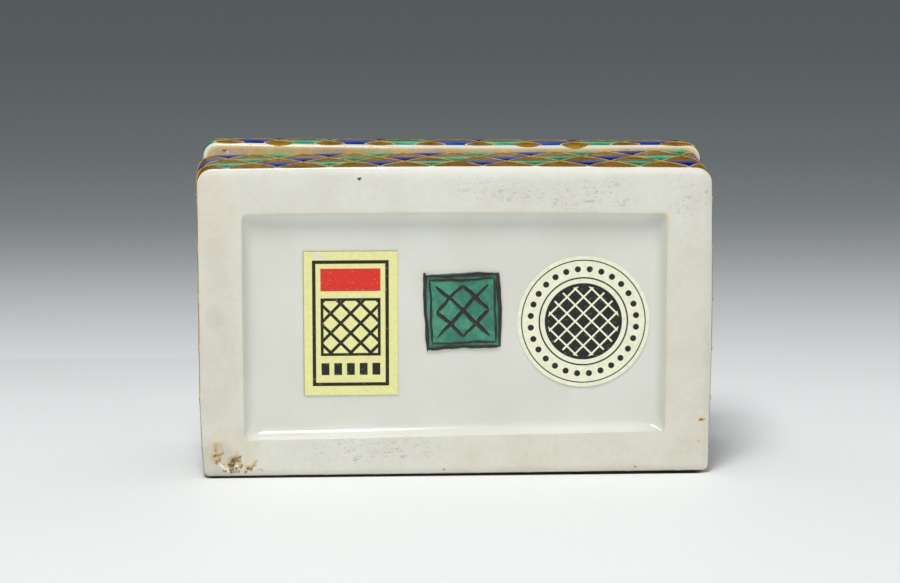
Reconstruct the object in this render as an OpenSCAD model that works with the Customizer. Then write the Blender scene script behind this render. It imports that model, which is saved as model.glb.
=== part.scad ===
// Porcelain incense box: a low tray on a wide foot ring, with a lift-off lid.
// Millimetres. The foot stands on z = 0, the lid is up, and the origin is the middle of the foot.

/* [Tray] */
// Length of the tray's outer wall, left to right
tray_w = 80; // [72:0.5:110]
// Depth of the tray's outer wall, front to back
tray_d = 48.7; // [44:0.1:70]
// Height from the foot to the ledge that carries the lid
tray_h = 16.6; // [13:0.1:30]
// Radius of the two front corners, seen from above
front_corner_r = 2.4; // [2:0.1:5]
// Radius of the two back corners, which are trimmed sharper
back_corner_r = 2.2; // [2:0.1:5]
// Thickness of the tray's floor above the foot recess
floor_t = 3; // [2:0.1:5]
// Hollow rounding between the tray's floor and its inner wall
floor_fillet_r = 2; // [0.5:0.1:2.2]
// Rounding of the ledge's outer edge
ledge_edge_r = 0.5; // [0.2:0.05:0.6]

/* [Foot] */
// Width of the flat foot ring
foot_ring_w = 6.8; // [5:0.1:8]
// Rounding of the foot's outer edge
foot_edge_r = 0.5; // [0.3:0.05:1.4]
// Depth of the glazed recess inside the foot ring
recess_depth = 1.8; // [1:0.1:3]
// How far the recess lies behind the middle of the foot
recess_shift_y = 0.5; // [-0.8:0.1:0.8]
// How far the recess wall leans in on its way up to the recess floor
recess_slope = 1.5; // [0.5:0.1:2.5]
// Corner radius of the recess at the foot ring
recess_mouth_r = 0.8; // [0.4:0.1:2]
// Corner radius of the recess floor, where the glaze pools
recess_floor_r = 2.4; // [1:0.1:5]

/* [Lip] */
// Height of the raised lip above the ledge
lip_h = 3; // [2:0.1:5]
// Thickness of the raised lip
lip_t = 1.4; // [1:0.1:2.5]
// Corner radius of the lip's outer face
lip_corner_r = 2; // [1:0.1:2.2]
// Corner radius of the hollow inside the tray
hollow_corner_r = 2.2; // [2.2:0.1:4]
// Rounding of the lip's top edge
lip_edge_r = 0.5; // [0.2:0.05:0.7]
// Gap all round between the lip and the lid's wall
lid_play = 0.8; // [0.3:0.05:1.2]

/* [Lid] */
// Height of the lid
lid_h = 12.4; // [10:0.1:25]
// Thickness of the lid's wall
lid_wall = 2.4; // [1.8:0.1:4]
// Thickness of the lid's top
lid_top_t = 3; // [2:0.1:5]
// How far the lid stands out past the tray at each end
lid_overhang_x = 0.1; // [0:0.05:1]
// How far the lid stands out past the tray at the front and the back
lid_overhang_y = 0.9; // [0:0.05:1.5]
// Rounding of the lid's lower outer edge
lid_rim_r = 0.5; // [0.3:0.05:1.6]
// Rounding of the lid's upper edge
lid_top_r = 2; // [0.5:0.1:2]
// Hollow rounding between the lid's inner wall and its ceiling
ceiling_fillet_r = 1.8; // [0.5:0.1:1.8]
// Corner radius of the hollow inside the lid
lid_hollow_r = 2; // [1.8:0.1:3]

/* [Labels] */
// Width of the rectangular paper label
label_w = 14.8; // [8:0.1:20]
// Length of the rectangular paper label, front to back
label_l = 22.9; // [10:0.1:27]
// Gap between the rectangular label and the seal
label_gap = 4.2; // [0.5:0.1:8]
// Diameter of the round paper label
round_label_dia = 20.9; // [10:0.1:23]
// Gap between the round label and the right end of the recess floor
round_label_end_gap = 0.95; // [0.5:0.05:3]
// Thickness of the label paper
paper_t = 0.12; // [0.08:0.01:0.3]

/* [Seal] */
// Side of the square enamel seal
seal_side = 12; // [6:0.1:14]
// Corner radius of the enamel seal
seal_corner_r = 0.6; // [0.2:0.1:1.5]
// Thickness of the enamel
seal_t = 0.25; // [0.15:0.01:0.5]
// Gap between the seal and the round label
seal_gap = 2.55; // [0.5:0.05:6]
// How far the seal lies behind the middle of the recess
seal_shift_y = -1.8; // [-4:0.1:4]

/* [Hidden] */
$fn = 48;
// How far a cut runs past the face it opens
cut = 1;
// How deep a raised piece is rooted in the solid under it
root = 1;
// Thickness of the two thin plates that span the recess
plate = 0.02;
// Least flat that an edge rounding leaves beside the corner it runs round
least_flat = 0.1;

// The tray's floor, the lip's top and the lid's seat
tray_floor_z = recess_depth + floor_t;
lip_top_z = tray_h + lip_h;
lid_seat_z = tray_h;

// The lid's outline follows the tray's, and the lip's follows the inside of the lid
lid_w = tray_w + 2 * lid_overhang_x;
lid_d = tray_d + 2 * lid_overhang_y;
lid_hollow_w = lid_w - 2 * lid_wall;
lid_hollow_d = lid_d - 2 * lid_wall;
lip_w = lid_hollow_w - 2 * lid_play;
lip_d = lid_hollow_d - 2 * lid_play;
hollow_w = lip_w - 2 * lip_t;
hollow_d = lip_d - 2 * lip_t;

// The recess, at the foot ring and at its floor
recess_w = tray_w - 2 * foot_ring_w;
recess_d = tray_d - 2 * foot_ring_w;
recess_floor_w = recess_w - 2 * recess_slope;
recess_floor_d = recess_d - 2 * recess_slope;

// The round label, the seal and the rectangular label follow each other from the right end of the recess floor
round_label_x = recess_floor_w / 2 - round_label_end_gap - round_label_dia / 2;
seal_x = round_label_x - round_label_dia / 2 - seal_gap - seal_side / 2;
label_x = seal_x - seal_side / 2 - label_gap - label_w / 2;
seal_y = recess_shift_y + seal_shift_y;

// Section of a block's edge: reach outwards along x, height along y, both outer corners rounded
module edge_section(reach, h, low_r, high_r) {
    square([reach - max(low_r, high_r), h]);
    translate([0, low_r])
        square([reach, h - low_r - high_r]);
    if (low_r > 0)
        translate([reach - low_r, low_r])
            intersection() {
                circle(low_r);
                translate([0, -low_r])
                    square(low_r);
            }
    if (high_r > 0)
        translate([reach - high_r, h - high_r])
            intersection() {
                circle(high_r);
                square(high_r);
            }
    if (low_r < high_r)
        square([reach - low_r, h - high_r]);
    if (high_r < low_r)
        translate([0, low_r])
            square([reach - high_r, h - low_r]);
}

// One straight side of a block, its section swept along the side's length
module side_run(length, reach, h, low_r, high_r) {
    rotate([90, 0, 0])
        linear_extrude(length, center = true)
            edge_section(reach, h, low_r, high_r);
}

// A block with upright rounded corners and rounded lower and upper edges, standing on z = 0
// Its edge roundings stay inside its sharpest corner
module rounded_block(w, d, h, front_r, back_r, low_edge_r = 0, high_edge_r = 0) {
    edge_limit = min(front_r, back_r) - least_flat;
    low_r = min(low_edge_r, edge_limit);
    high_r = min(high_edge_r, edge_limit);
    reach = max(front_r, back_r);
    mid_y = (front_r - back_r) / 2;
    for (sx = [-1, 1]) {
        translate([sx * (w / 2 - front_r), front_r - d / 2, 0])
            rotate(sx > 0 ? -90 : 180)
                rotate_extrude(angle = 90)
                    edge_section(front_r, h, low_r, high_r);
        translate([sx * (w / 2 - back_r), d / 2 - back_r, 0])
            rotate(sx > 0 ? 0 : 90)
                rotate_extrude(angle = 90)
                    edge_section(back_r, h, low_r, high_r);
        translate([sx * (w / 2 - reach), mid_y, 0])
            rotate(sx > 0 ? 0 : 180)
                side_run(d - front_r - back_r, reach, h, low_r, high_r);
    }
    translate([0, reach - d / 2, 0])
        rotate(-90)
            side_run(w - 2 * front_r, reach, h, low_r, high_r);
    translate([0, d / 2 - reach, 0])
        rotate(90)
            side_run(w - 2 * back_r, reach, h, low_r, high_r);
    translate([reach - w / 2, reach - d / 2, 0])
        cube([w - 2 * reach, d - 2 * reach, h]);
}

// A thin plate with rounded corners, centred on the origin
module plate_outline(w, d, r) {
    for (sx = [-1, 1], sy = [-1, 1])
        translate([sx * (w / 2 - r), sy * (d / 2 - r), 0])
            cylinder(h = plate, r = r, $fn = 32);
}

// The space of the glazed recess, its walls leaning in towards the recess floor
module recess_space() {
    translate([0, recess_shift_y, 0])
        hull() {
            translate([0, 0, -plate])
                plate_outline(recess_w, recess_d, recess_mouth_r);
            translate([0, 0, recess_depth - plate])
                plate_outline(recess_floor_w, recess_floor_d, recess_floor_r);
        }
}

module tray() {
    color([0.91, 0.9, 0.85])
        difference() {
            union() {
                rounded_block(tray_w, tray_d, tray_h, front_corner_r, back_corner_r,
                    foot_edge_r, ledge_edge_r);
                translate([0, 0, tray_h - root])
                    rounded_block(lip_w, lip_d, lip_h + root, lip_corner_r, lip_corner_r,
                        0, lip_edge_r);
            }
            translate([0, 0, tray_floor_z])
                rounded_block(hollow_w, hollow_d, lip_top_z - tray_floor_z + cut,
                    hollow_corner_r, hollow_corner_r, floor_fillet_r, 0);
            recess_space();
        }
}

module lid() {
    color([0.55, 0.44, 0.2])
        translate([0, 0, lid_seat_z])
            difference() {
                rounded_block(lid_w, lid_d, lid_h, front_corner_r, back_corner_r,
                    lid_rim_r, lid_top_r);
                translate([0, 0, -cut])
                    rounded_block(lid_hollow_w, lid_hollow_d, lid_h - lid_top_t + cut,
                        lid_hollow_r, lid_hollow_r, 0, ceiling_fillet_r);
            }
}

// The labels and the seal lie on the recess floor and face down
module rectangular_label() {
    color([0.93, 0.91, 0.63])
        translate([label_x - label_w / 2, recess_shift_y - label_l / 2, recess_depth - paper_t])
            cube([label_w, label_l, paper_t]);
}

module round_label() {
    color([0.91, 0.92, 0.81])
        translate([round_label_x, recess_shift_y, recess_depth - paper_t])
            cylinder(h = paper_t, d = round_label_dia);
}

module enamel_seal() {
    color([0.2, 0.55, 0.45])
        translate([seal_x, seal_y, recess_depth - seal_t])
            rounded_block(seal_side, seal_side, seal_t, seal_corner_r, seal_corner_r);
}

tray();
lid();
rectangular_label();
round_label();
enamel_seal();
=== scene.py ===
"""Finish of a porcelain incense box: glazed tray and lid, enamel scales, gold lines, labels and a studio."""

import math

import bmesh
import bpy
from bpy.props import FloatProperty, FloatVectorProperty, IntProperty, PointerProperty
from mathutils import Matrix, Vector


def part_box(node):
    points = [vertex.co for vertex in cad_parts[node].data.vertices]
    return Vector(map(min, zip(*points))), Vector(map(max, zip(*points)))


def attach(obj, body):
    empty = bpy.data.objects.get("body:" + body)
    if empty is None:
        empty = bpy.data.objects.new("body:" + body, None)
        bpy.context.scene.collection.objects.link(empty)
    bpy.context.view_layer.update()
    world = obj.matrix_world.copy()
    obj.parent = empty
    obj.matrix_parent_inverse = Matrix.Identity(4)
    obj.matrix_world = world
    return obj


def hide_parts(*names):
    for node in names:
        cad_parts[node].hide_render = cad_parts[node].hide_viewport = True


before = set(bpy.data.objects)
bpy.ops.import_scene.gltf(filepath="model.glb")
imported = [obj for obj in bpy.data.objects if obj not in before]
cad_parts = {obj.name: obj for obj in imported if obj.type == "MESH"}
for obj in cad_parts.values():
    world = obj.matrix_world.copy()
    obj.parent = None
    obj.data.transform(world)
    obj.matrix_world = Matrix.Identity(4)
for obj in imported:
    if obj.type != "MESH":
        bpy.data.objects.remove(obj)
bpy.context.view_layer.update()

bl_info = {
    "name": "Porcelain incense box",
    "version": (1, 0, 0),
    "blender": (4, 5, 0),
    "location": "View3D > Sidebar > Incense box",
    "description": "Builds the glaze, enamel, gold and labels of a lidded porcelain box around its solids",
    "category": "Object",
}

MM = 0.001
TRAY_LOW, TRAY_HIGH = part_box("tray")
LID_LOW, LID_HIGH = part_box("lid")
LABEL_LOW, LABEL_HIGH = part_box("rectangular_label")
ROUND_LOW, ROUND_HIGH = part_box("round_label")
SEAL_LOW, SEAL_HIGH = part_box("enamel_seal")

# How far the gold runs down past its edge, from scale to scale
GOLD_RUNS = (0.25, 0.25, 1.0, 1.5, 0.15, 0.7, 0.5, 0.3, 0.8, 0.4, 0.6, 0.3, 0.5, 1.2, 0.6, 0.4)
# Segments of an outline: each corner, each long side, each short side
CORNER_STEPS, LONG_STEPS, SHORT_STEPS = 10, 160, 96
# The foot's rounding: how far it turns below the wall, in degrees, and its steps
FOOT_TURN, FOOT_STEPS = 75, 15
# Where the gold begins on the foot's rounding and on the lid's lower edge, in degrees below the wall
GOLD_START, LID_GOLD_START = 30, 26
# Steps of the lid's pattern over that edge and up the wall
LID_EDGE_STEPS, LID_WALL_STEPS = 5, 8
# Section of the recess from floor to mouth, in millimetres: in from the mouth and down from the floor
RECESS_SECTION = (
    (14, 0), (9, 0), (5, 0), (4, 0), (3.4, 0.004), (2.9, 0.016), (2.5, 0.036), (2.1, 0.075), (1.75, 0.14),
    (1.4, 0.25), (1.1, 0.41), (0.85, 0.61), (0.62, 0.87), (0.42, 1.15), (0.26, 1.41), (0.13, 1.63),
    (0.06, 1.73))
# Rounding of the lip's root, and of the inner edges of the lip and the lid's rim
LIP_ROOT, INNER_EDGE = 0.3 * MM, 0.35 * MM
# Softness of a printed edge, and how near two points are that become one
INK_EDGE, TIP_REACH = 0.03 * MM, 0.002 * MM
# Seed of the scales' tints
TINT_SEED = 7


def length(label, about, size):
    """A size in millimetres as a length property."""
    return FloatProperty(name=label, description=about, default=size * MM, unit="LENGTH", precision=5)


def colour(label, about, red, green, blue):
    """A screen colour from 0 to 255 as a colour property."""
    def linear(value):
        value /= 255
        return value / 12.92 if value <= 0.04045 else ((value + 0.055) / 1.055) ** 2.4
    return FloatVectorProperty(name=label, description=about, size=3, min=0, max=1, subtype="COLOR",
                               default=(linear(red), linear(green), linear(blue)))


def spot(label, about, x, y, z):
    """A place in millimetres as a translation property."""
    return FloatVectorProperty(name=label, description=about, size=3, subtype="TRANSLATION", precision=5,
                               default=(x * MM, y * MM, z * MM))


def whole_number(label, about, number):
    """A whole number of scales or rows as a property."""
    return IntProperty(name=label, description=about, default=number, min=1)


def row_number(label, about, number):
    """A number of rows, whole or not, as a property."""
    return FloatProperty(name=label, description=about, default=number, min=0)


def power(label, about, watts):
    """A light's power as a property."""
    return FloatProperty(name=label, description=about, default=watts, min=0, unit="POWER")


class BoxShape(bpy.types.PropertyGroup):
    """Sizes of the tray and the lid that their solids' boxes don't give."""
    foot_ring: length("Foot ring", "Width of the bare foot ring", 6.8)
    foot_edge: length("Foot edge", "Rounding of the foot's outer edge", 0.5)
    foot_crown: length("Foot crown", "How far the foot rises over its last millimetre, before its edge", 0.2)
    recess_shift: length("Recess shift", "How far the recess lies behind the middle", 0.5)
    recess_slope: length("Recess slope", "How far the recess wall leans in", 1.5)
    mouth_corner: length("Mouth corner", "Corner radius of the recess at the foot ring", 0.8)
    recess_corner: length("Recess corner", "Corner radius of the recess floor", 2.4)
    front_corner: length("Front corner", "Radius of the tray's two front corners", 2.4)
    back_corner: length("Back corner", "Radius of the two back corners", 1.0)
    lid_corner: length("Lid corner", "Radius of the lid's two front corners", 2.4)
    ledge_edge: length("Ledge edge", "Rounding of the ledge's outer edge", 0.5)
    floor_wall: length("Floor", "Thickness of the tray's floor", 3.0)
    floor_fillet: length("Floor fillet", "Hollow rounding round the tray's floor", 2.0)
    lip_wall: length("Lip", "Thickness of the raised lip", 1.4)
    lip_corner: length("Lip corner", "Corner radius of the lip's outer face", 2.0)
    lip_edge: length("Lip edge", "Rounding of the lip's top edge", 0.5)
    hollow_corner: length("Hollow corner", "Corner radius of the tray's hollow", 2.2)
    lid_play: length("Lid play", "Gap between the lip and the lid's wall", 0.8)
    lid_wall: length("Lid wall", "Thickness of the lid's wall", 2.4)
    lid_top: length("Lid top", "Thickness of the lid's top", 3.0)
    lid_rim_edge: length("Lid rim edge", "Rounding of the lid's lower outer edge", 1.0)
    lid_top_edge: length("Lid top edge", "Rounding of the lid's upper edge", 2.6)
    lid_draft: length("Lid draft", "How far the lid's bowed wall leans in on its way up", 0.65)
    ceiling_fillet: length("Ceiling fillet", "Hollow rounding round the lid's ceiling", 1.8)
    lid_hollow_corner: length("Lid hollow corner", "Corner radius of the lid's hollow", 2.0)
    front_lean: spot("Front lean", "How the front wall strays: at its middle, its slant and its bow",
                     -0.05, 0.13, 0.37)
    back_lean: spot("Back lean", "How the back wall strays: at its middle, its slant and its bow",
                    0.19, -0.09, -0.01)
    left_lean: length("Left lean", "How far the left wall leans in at its back corner", 0.5)
    front_flare: length("Front flare", "How far the front wall leans out, up at the ledge", 0.1)
    rim_flare: length("Rim flare", "How much further it leans out at its right end", 0.8)
    left_flare: length("Left flare", "How far the left wall leans out, up at the ledge", 0.5)
    right_draft: length("Right draft", "How far the right wall leans in, up at the ledge", 0.2)
    right_out: length("Right out", "How far the right wall stands out at its two ends", 0.24)
    right_bow: length("Right bow", "How much further the right wall stands out at its middle", 0.3)
    lid_lean: spot("Lid lean", "How the lid's front wall strays: at its middle, its slant and its bow",
                   -0.47, 0.41, -0.32)
    lid_belly: length("Lid belly", "How far the middle of the lid's front wall swells out, halfway up", 0.28)
    lid_shift: length("Lid shift", "How far the loose lid sits to the right", 0.45)
    front_slip: length("Front slip", "How far the front wall's pattern slips to the right in its right half",
                       0.6)
    lid_slip: length("Lid slip", "How far the lid's front pattern slips to the right in its right half",
                     -0.9)


class EnamelPattern(bpy.types.PropertyGroup):
    """The scale pattern of enamel and gold on the walls and the lid's top."""
    around: whole_number("Scales around", "Scales of one row round the box", 32)
    tray_rows: whole_number("Rows on the tray", "Rows of scales up the tray's wall", 3)
    row_height: length("Row height", "Height of one row of scales on the lid's wall", 5.75)
    phase: length("Phase", "Place of the first scale's tip on the front wall", -3.6)
    bulge: length("Bulge", "How far the gold scales bulge at their sides", 0.42)
    enamel_thickness: length("Enamel", "Thickness of the fired enamel", 0.09)
    enamel_root: length("Enamel root", "How deep the enamel is set in the wall", 0.05)
    gold_sag: length("Gold sag", "How far the gold runs down past the lid's lower edge", 0.5)
    foot_sag: length("Foot sag", "How far the gold runs down towards the foot", 0.08)
    tip_gap: length("Tip gap", "White gap under the tips of the lowest scales", 0.16)
    line_width: length("Line width", "Width of the raised gold lines", 0.42)
    line_height: length("Line height", "Height of the raised gold lines", 0.1)
    border_width: length("Border width", "Width of the gold line round the lid's top field", 0.4)
    lid_start: row_number("Lid start", "Rows from the foot to the lid's lower edge", 3.5)
    lid_end: row_number("Lid end", "Rows from the foot to the end of the pattern on the lid's wall", 5.0)
    top_rows: whole_number("Rows on top", "Rows of scales over the lid's top", 7)
    top_columns: whole_number("Scales on top", "Scales in a row on the lid's top", 9)
    top_margin: length("Top margin", "White band between the lid's top edge and its pattern", 1.3)


class BoxFinish(bpy.types.PropertyGroup):
    """Colours of the clay, the glaze, the enamels, the gold and the papers."""
    glaze: colour("Glaze", "Clear glaze over white porcelain", 227, 228, 219)
    glaze_pool: colour("Pooled glaze", "Glaze where it lies thick", 220, 220, 209)
    # Painted shade: the grey laid on the recess's steep walls, mostly at its right end
    glaze_painted_shade: colour("Thin glaze", "Glaze drawn thin and grey on the recess's walls", 186, 190, 176)
    bare: colour("Bare clay", "Bare clay of the foot ring", 228, 228, 217)
    bare_shade: colour("Bare clay shade", "Darker patches of the bare clay", 218, 216, 203)
    rim: colour("Lid rim", "Bare clay of the lid's rim", 224, 199, 146)
    rim_shade: colour("Lid rim shade", "Darker patches of the lid's rim", 194, 166, 112)
    tan: colour("Tan line", "Warm line where the glaze ends", 226, 208, 160)
    green: colour("Green enamel", "Green enamel where it lies thin", 92, 206, 180)
    green_deep: colour("Deep green enamel", "Green enamel where it lies thick", 0, 118, 94)
    blue: colour("Blue enamel", "Blue enamel where it lies thin", 44, 108, 218)
    blue_deep: colour("Deep blue enamel", "Blue enamel where it lies thick", 0, 10, 112)
    gold: colour("Gold", "Raised lines of fired gold", 240, 194, 84)
    gold_wash: colour("Gold wash", "Flat fields of fired gold", 164, 124, 36)
    gold_shade: colour("Gold shade", "Rubbed and darker gold", 130, 94, 28)
    yellow_paper: colour("Yellow paper", "Paper of the rectangular label", 243, 241, 165)
    cream_paper: colour("Cream paper", "Paper of the round label", 247, 249, 224)
    ink: colour("Ink", "Dark printing ink", 34, 34, 32)
    red_ink: colour("Red ink", "Red printing ink", 224, 52, 40)
    paper_shade: colour("Paper shade", "Darker fibres of both papers", 214, 208, 150)
    seal_green: colour("Seal green", "Green enamel of the seal", 66, 150, 122)
    seal_deep: colour("Deep seal green", "Thicker green enamel of the seal", 40, 116, 94)
    brush: colour("Brush lines", "Dark brushed lines of the seal", 32, 24, 22)
    brush_thin: colour("Thin brush lines", "Brushed lines where they are thin", 58, 40, 34)
    stain: colour("Kiln stain", "Tan stains of the foot", 204, 166, 92)
    scar: colour("Kiln scar", "Brown scars of the foot", 146, 96, 38)
    crust: colour("Kiln crust", "Darkest crust of the scars", 62, 56, 42)
    # This white also paints a highlight along the foot's front edge
    chip: colour("Chips", "Fresh white chips of the foot", 246, 245, 236)
    scuff: colour("Scuffs", "Grey rubbed marks of the foot", 150, 142, 128)
    scrape: colour("Scrape", "Torn white fibres of the rectangular label", 228, 222, 230)


class BoxMarks(bpy.types.PropertyGroup):
    """The labels and the seal in the recess."""
    paper_wave: length("Paper wave", "How far the edges of the papers lift", 0.12)
    seal_turn: FloatProperty(name="Seal turn", description="How far the seal leans", unit="ROTATION",
                             default=math.radians(1.8))
    seal_ragged: length("Seal edge", "Unevenness of the seal's edge", 0.5)


class BoxStudio(bpy.types.PropertyGroup):
    """Camera, lights and backdrop."""
    camera_place: spot("Camera", "Where the camera stands", -21.51, -81.48, -447.13)
    camera_aim: spot("Aim", "The point at the middle of the frame", -0.787, -4.716, 0)
    lens: FloatProperty(name="Lens", description="Focal length in millimetres", default=116.34, min=1,
                        unit="CAMERA")
    # The table's two colours: the ramp towards the far one is painted shade for the light's falloff towards
    # the backdrop
    table_near: colour("Table near", "The table close to the camera", 246, 249, 248)
    table_far_shade: colour("Table far", "The backdrop far away", 83, 95, 101)
    world: colour("World", "Soft light from all round", 172, 172, 173)
    key: power("Key light", "Power of each half of the soft light above the front wall", 2.28)
    key_place: spot("Key place", "Where the half of the key light stands that casts the shadow",
                    -75, -520, -240)
    glow_place: spot("Glow place", "Where the half of the key light stands that glazes mirror",
                     -120, -520, -250)
    top: power("Top light", "Power of the soft light above the lid", 4.0)
    top_place: spot("Top place", "Where the light above the lid stands", 150, 400, 750)
    strip: power("Strip light", "Power of the narrow light beside the key light", 0.09)
    strip_place: spot("Strip place", "Where the narrow light stands", 90, -520, -250)


# Meshes

def held(value):
    """A value held between 0 and 1."""
    return min(max(value, 0), 1)


def outline(half_x, half_y, centre_y, front_r, back_r):
    """Points round a rounded rectangle, from the middle of its front side to the right."""
    points = []

    def run(start, end, steps):
        for step in range(steps):
            share = step / steps
            points.append((start[0] + (end[0] - start[0]) * share, start[1] + (end[1] - start[1]) * share))

    def turn(x, y, radius, start):
        for step in range(CORNER_STEPS):
            angle = start + math.pi / 2 * step / CORNER_STEPS
            points.append((x + radius * math.cos(angle), y + radius * math.sin(angle)))

    front, back = centre_y - half_y, centre_y + half_y
    run((0, front), (half_x - front_r, front), LONG_STEPS // 2)
    turn(half_x - front_r, front + front_r, front_r, -math.pi / 2)
    run((half_x, front + front_r), (half_x, back - back_r), SHORT_STEPS)
    turn(half_x - back_r, back - back_r, back_r, 0)
    run((half_x - back_r, back), (back_r - half_x, back), LONG_STEPS)
    turn(back_r - half_x, back - back_r, back_r, math.pi / 2)
    run((-half_x, back - back_r), (-half_x, front + front_r), SHORT_STEPS)
    turn(front_r - half_x, front + front_r, front_r, math.pi)
    run((front_r - half_x, front), (0, front), LONG_STEPS // 2)
    return points


def arc(x, z, radius, start, end, steps):
    """Points of a section's rounding, its angles in degrees."""
    angles = [math.radians(start + (end - start) * step / steps) for step in range(steps + 1)]
    return [(x + radius * math.cos(angle), z + radius * math.sin(angle)) for angle in angles]


def bow(lean, across):
    """A wall's own line: how it strays at its middle, its slant and its bow."""
    return lean[0] + lean[1] * across + lean[2] * across ** 2


def slip(across, back_share):
    """Share of a front pattern's slip: none in the wall's left half, at its corners and off the wall."""
    begins, grows, ends, fades = 0.05, 0.5, 0.95, 0.07
    start = held((across - begins) / grows)
    end = held((ends - across) / fades)
    on_front = (1 - back_share) ** 40
    return start ** 2 * (3 - 2 * start) * end * on_front


def stray(shape, body, place):
    """How far a point strays sideways, because the walls were pressed and trimmed by hand."""
    across = place.x / TRAY_HIGH.x
    back_share = held((place.y - TRAY_LOW.y) / (TRAY_HIGH.y - TRAY_LOW.y))
    if body == "lid":
        half_up = 6 * MM
        rise = held((place.z - LID_LOW.z) / half_up)
        belly = shape.lid_belly * max(1 - across ** 2, 0) * rise
        aside = shape.lid_shift + shape.lid_slip * slip(across, back_share)
        return aside, (bow(shape.lid_lean, across) - belly) * (1 - back_share)
    rise = held(place.z / LID_LOW.z)
    leftward, rightward = max(-across, 0), max(across, 0)
    flare = shape.front_flare + shape.rim_flare * rightward ** 2
    front = bow(shape.front_lean, across) - flare * rise
    lean = shape.left_lean * leftward ** 8 * max(back_share * 4 - 3, 0) ** 1.5
    lean -= rise * shape.left_flare * leftward ** 20
    middle = (4 * back_share * (1 - back_share)) ** 2
    lean += (shape.right_out + shape.right_bow * middle - shape.right_draft * rise) * rightward ** 20
    lean += shape.front_slip * slip(across, back_share)
    return lean, front * (1 - back_share) + bow(shape.back_lean, across) * back_share


def settle(shape, body, mesh):
    """Moves a mesh's points to where the hand-made walls are."""
    for vertex in mesh.vertices:
        across, depth = stray(shape, body, vertex.co)
        vertex.co.x += across
        vertex.co.y += depth
    mesh.update()


def run_along(points):
    """How far along a closed outline each of its points lies."""
    runs = [0.0]
    for here, there in zip(points, points[1:]):
        runs.append(runs[-1] + math.dist(here, there))
    return runs


def place_piece(name, mesh, body, slot, *nodes):
    """Adds a finished mesh to the scene as a piece of the box."""
    piece = bpy.data.objects.new(name, mesh)
    bpy.context.scene.collection.objects.link(piece)
    join_body(piece, body, slot, *nodes)


def join_body(piece, body, slot, *nodes):
    """Lets a piece ride on its body and stand for its solids."""
    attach(piece, body)
    if nodes:
        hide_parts(*nodes)


def loft(name, rings, material):
    """A closed mesh through rings of (points, height, shares of a finish), capped at both ends."""
    shell = bmesh.new()
    # The attribute 'thin' carries painted shade on the recess walls
    layers = {key: shell.verts.layers.float.new(key) for key in ("bare", "seam", "gilt", "thin")}
    loops = []
    for points, height, shares in rings:
        loop = [shell.verts.new((x, y, height)) for x, y in points]
        for key, share in shares.items():
            values = share if isinstance(share, list) else [share] * len(loop)
            for vertex, value in zip(loop, values):
                vertex[layers[key]] = value
        loops.append(loop)
    count = len(loops[0])
    for low, high in zip(loops, loops[1:]):
        for here in range(count):
            there = (here + 1) % count
            shell.faces.new((low[here], low[there], high[there], high[here]))
    shell.faces.new(loops[0][::-1])
    shell.faces.new(loops[-1])
    for face in shell.faces:
        face.smooth = True
    mesh = bpy.data.meshes.new(name)
    shell.to_mesh(mesh)
    shell.free()
    mesh.materials.append(material)
    return mesh


def gold_edge(pattern, runs, above, turn, half_width, sag, notch):
    """Share of gold above a pattern's lower edge: it sags between the scales and gaps at their tips."""
    tip_share, soft_edge = 0.08, 0.08 * MM
    period = (runs[-1] + runs[1]) / pattern.around
    shares = []
    for run in runs:
        cell = (run - pattern.phase) / period + turn
        aside = abs(cell % 1 - 0.5)
        uneven = GOLD_RUNS[math.floor(cell) % len(GOLD_RUNS)]
        hang = sag * uneven * max(1 - (aside / half_width) ** 2, 0)
        hang -= notch * max(1 - (0.5 - aside) / tip_share, 0)
        shares.append(held((above + hang) / soft_edge + 0.5))
    return shares


def foot_rounding(shape, start, steps):
    """Section of the foot's outer edge, from an angle up to the wall."""
    edge = shape.foot_edge
    return arc(-edge, shape.foot_crown + edge * math.sin(math.radians(FOOT_TURN)), edge, start, 0, steps)


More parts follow.
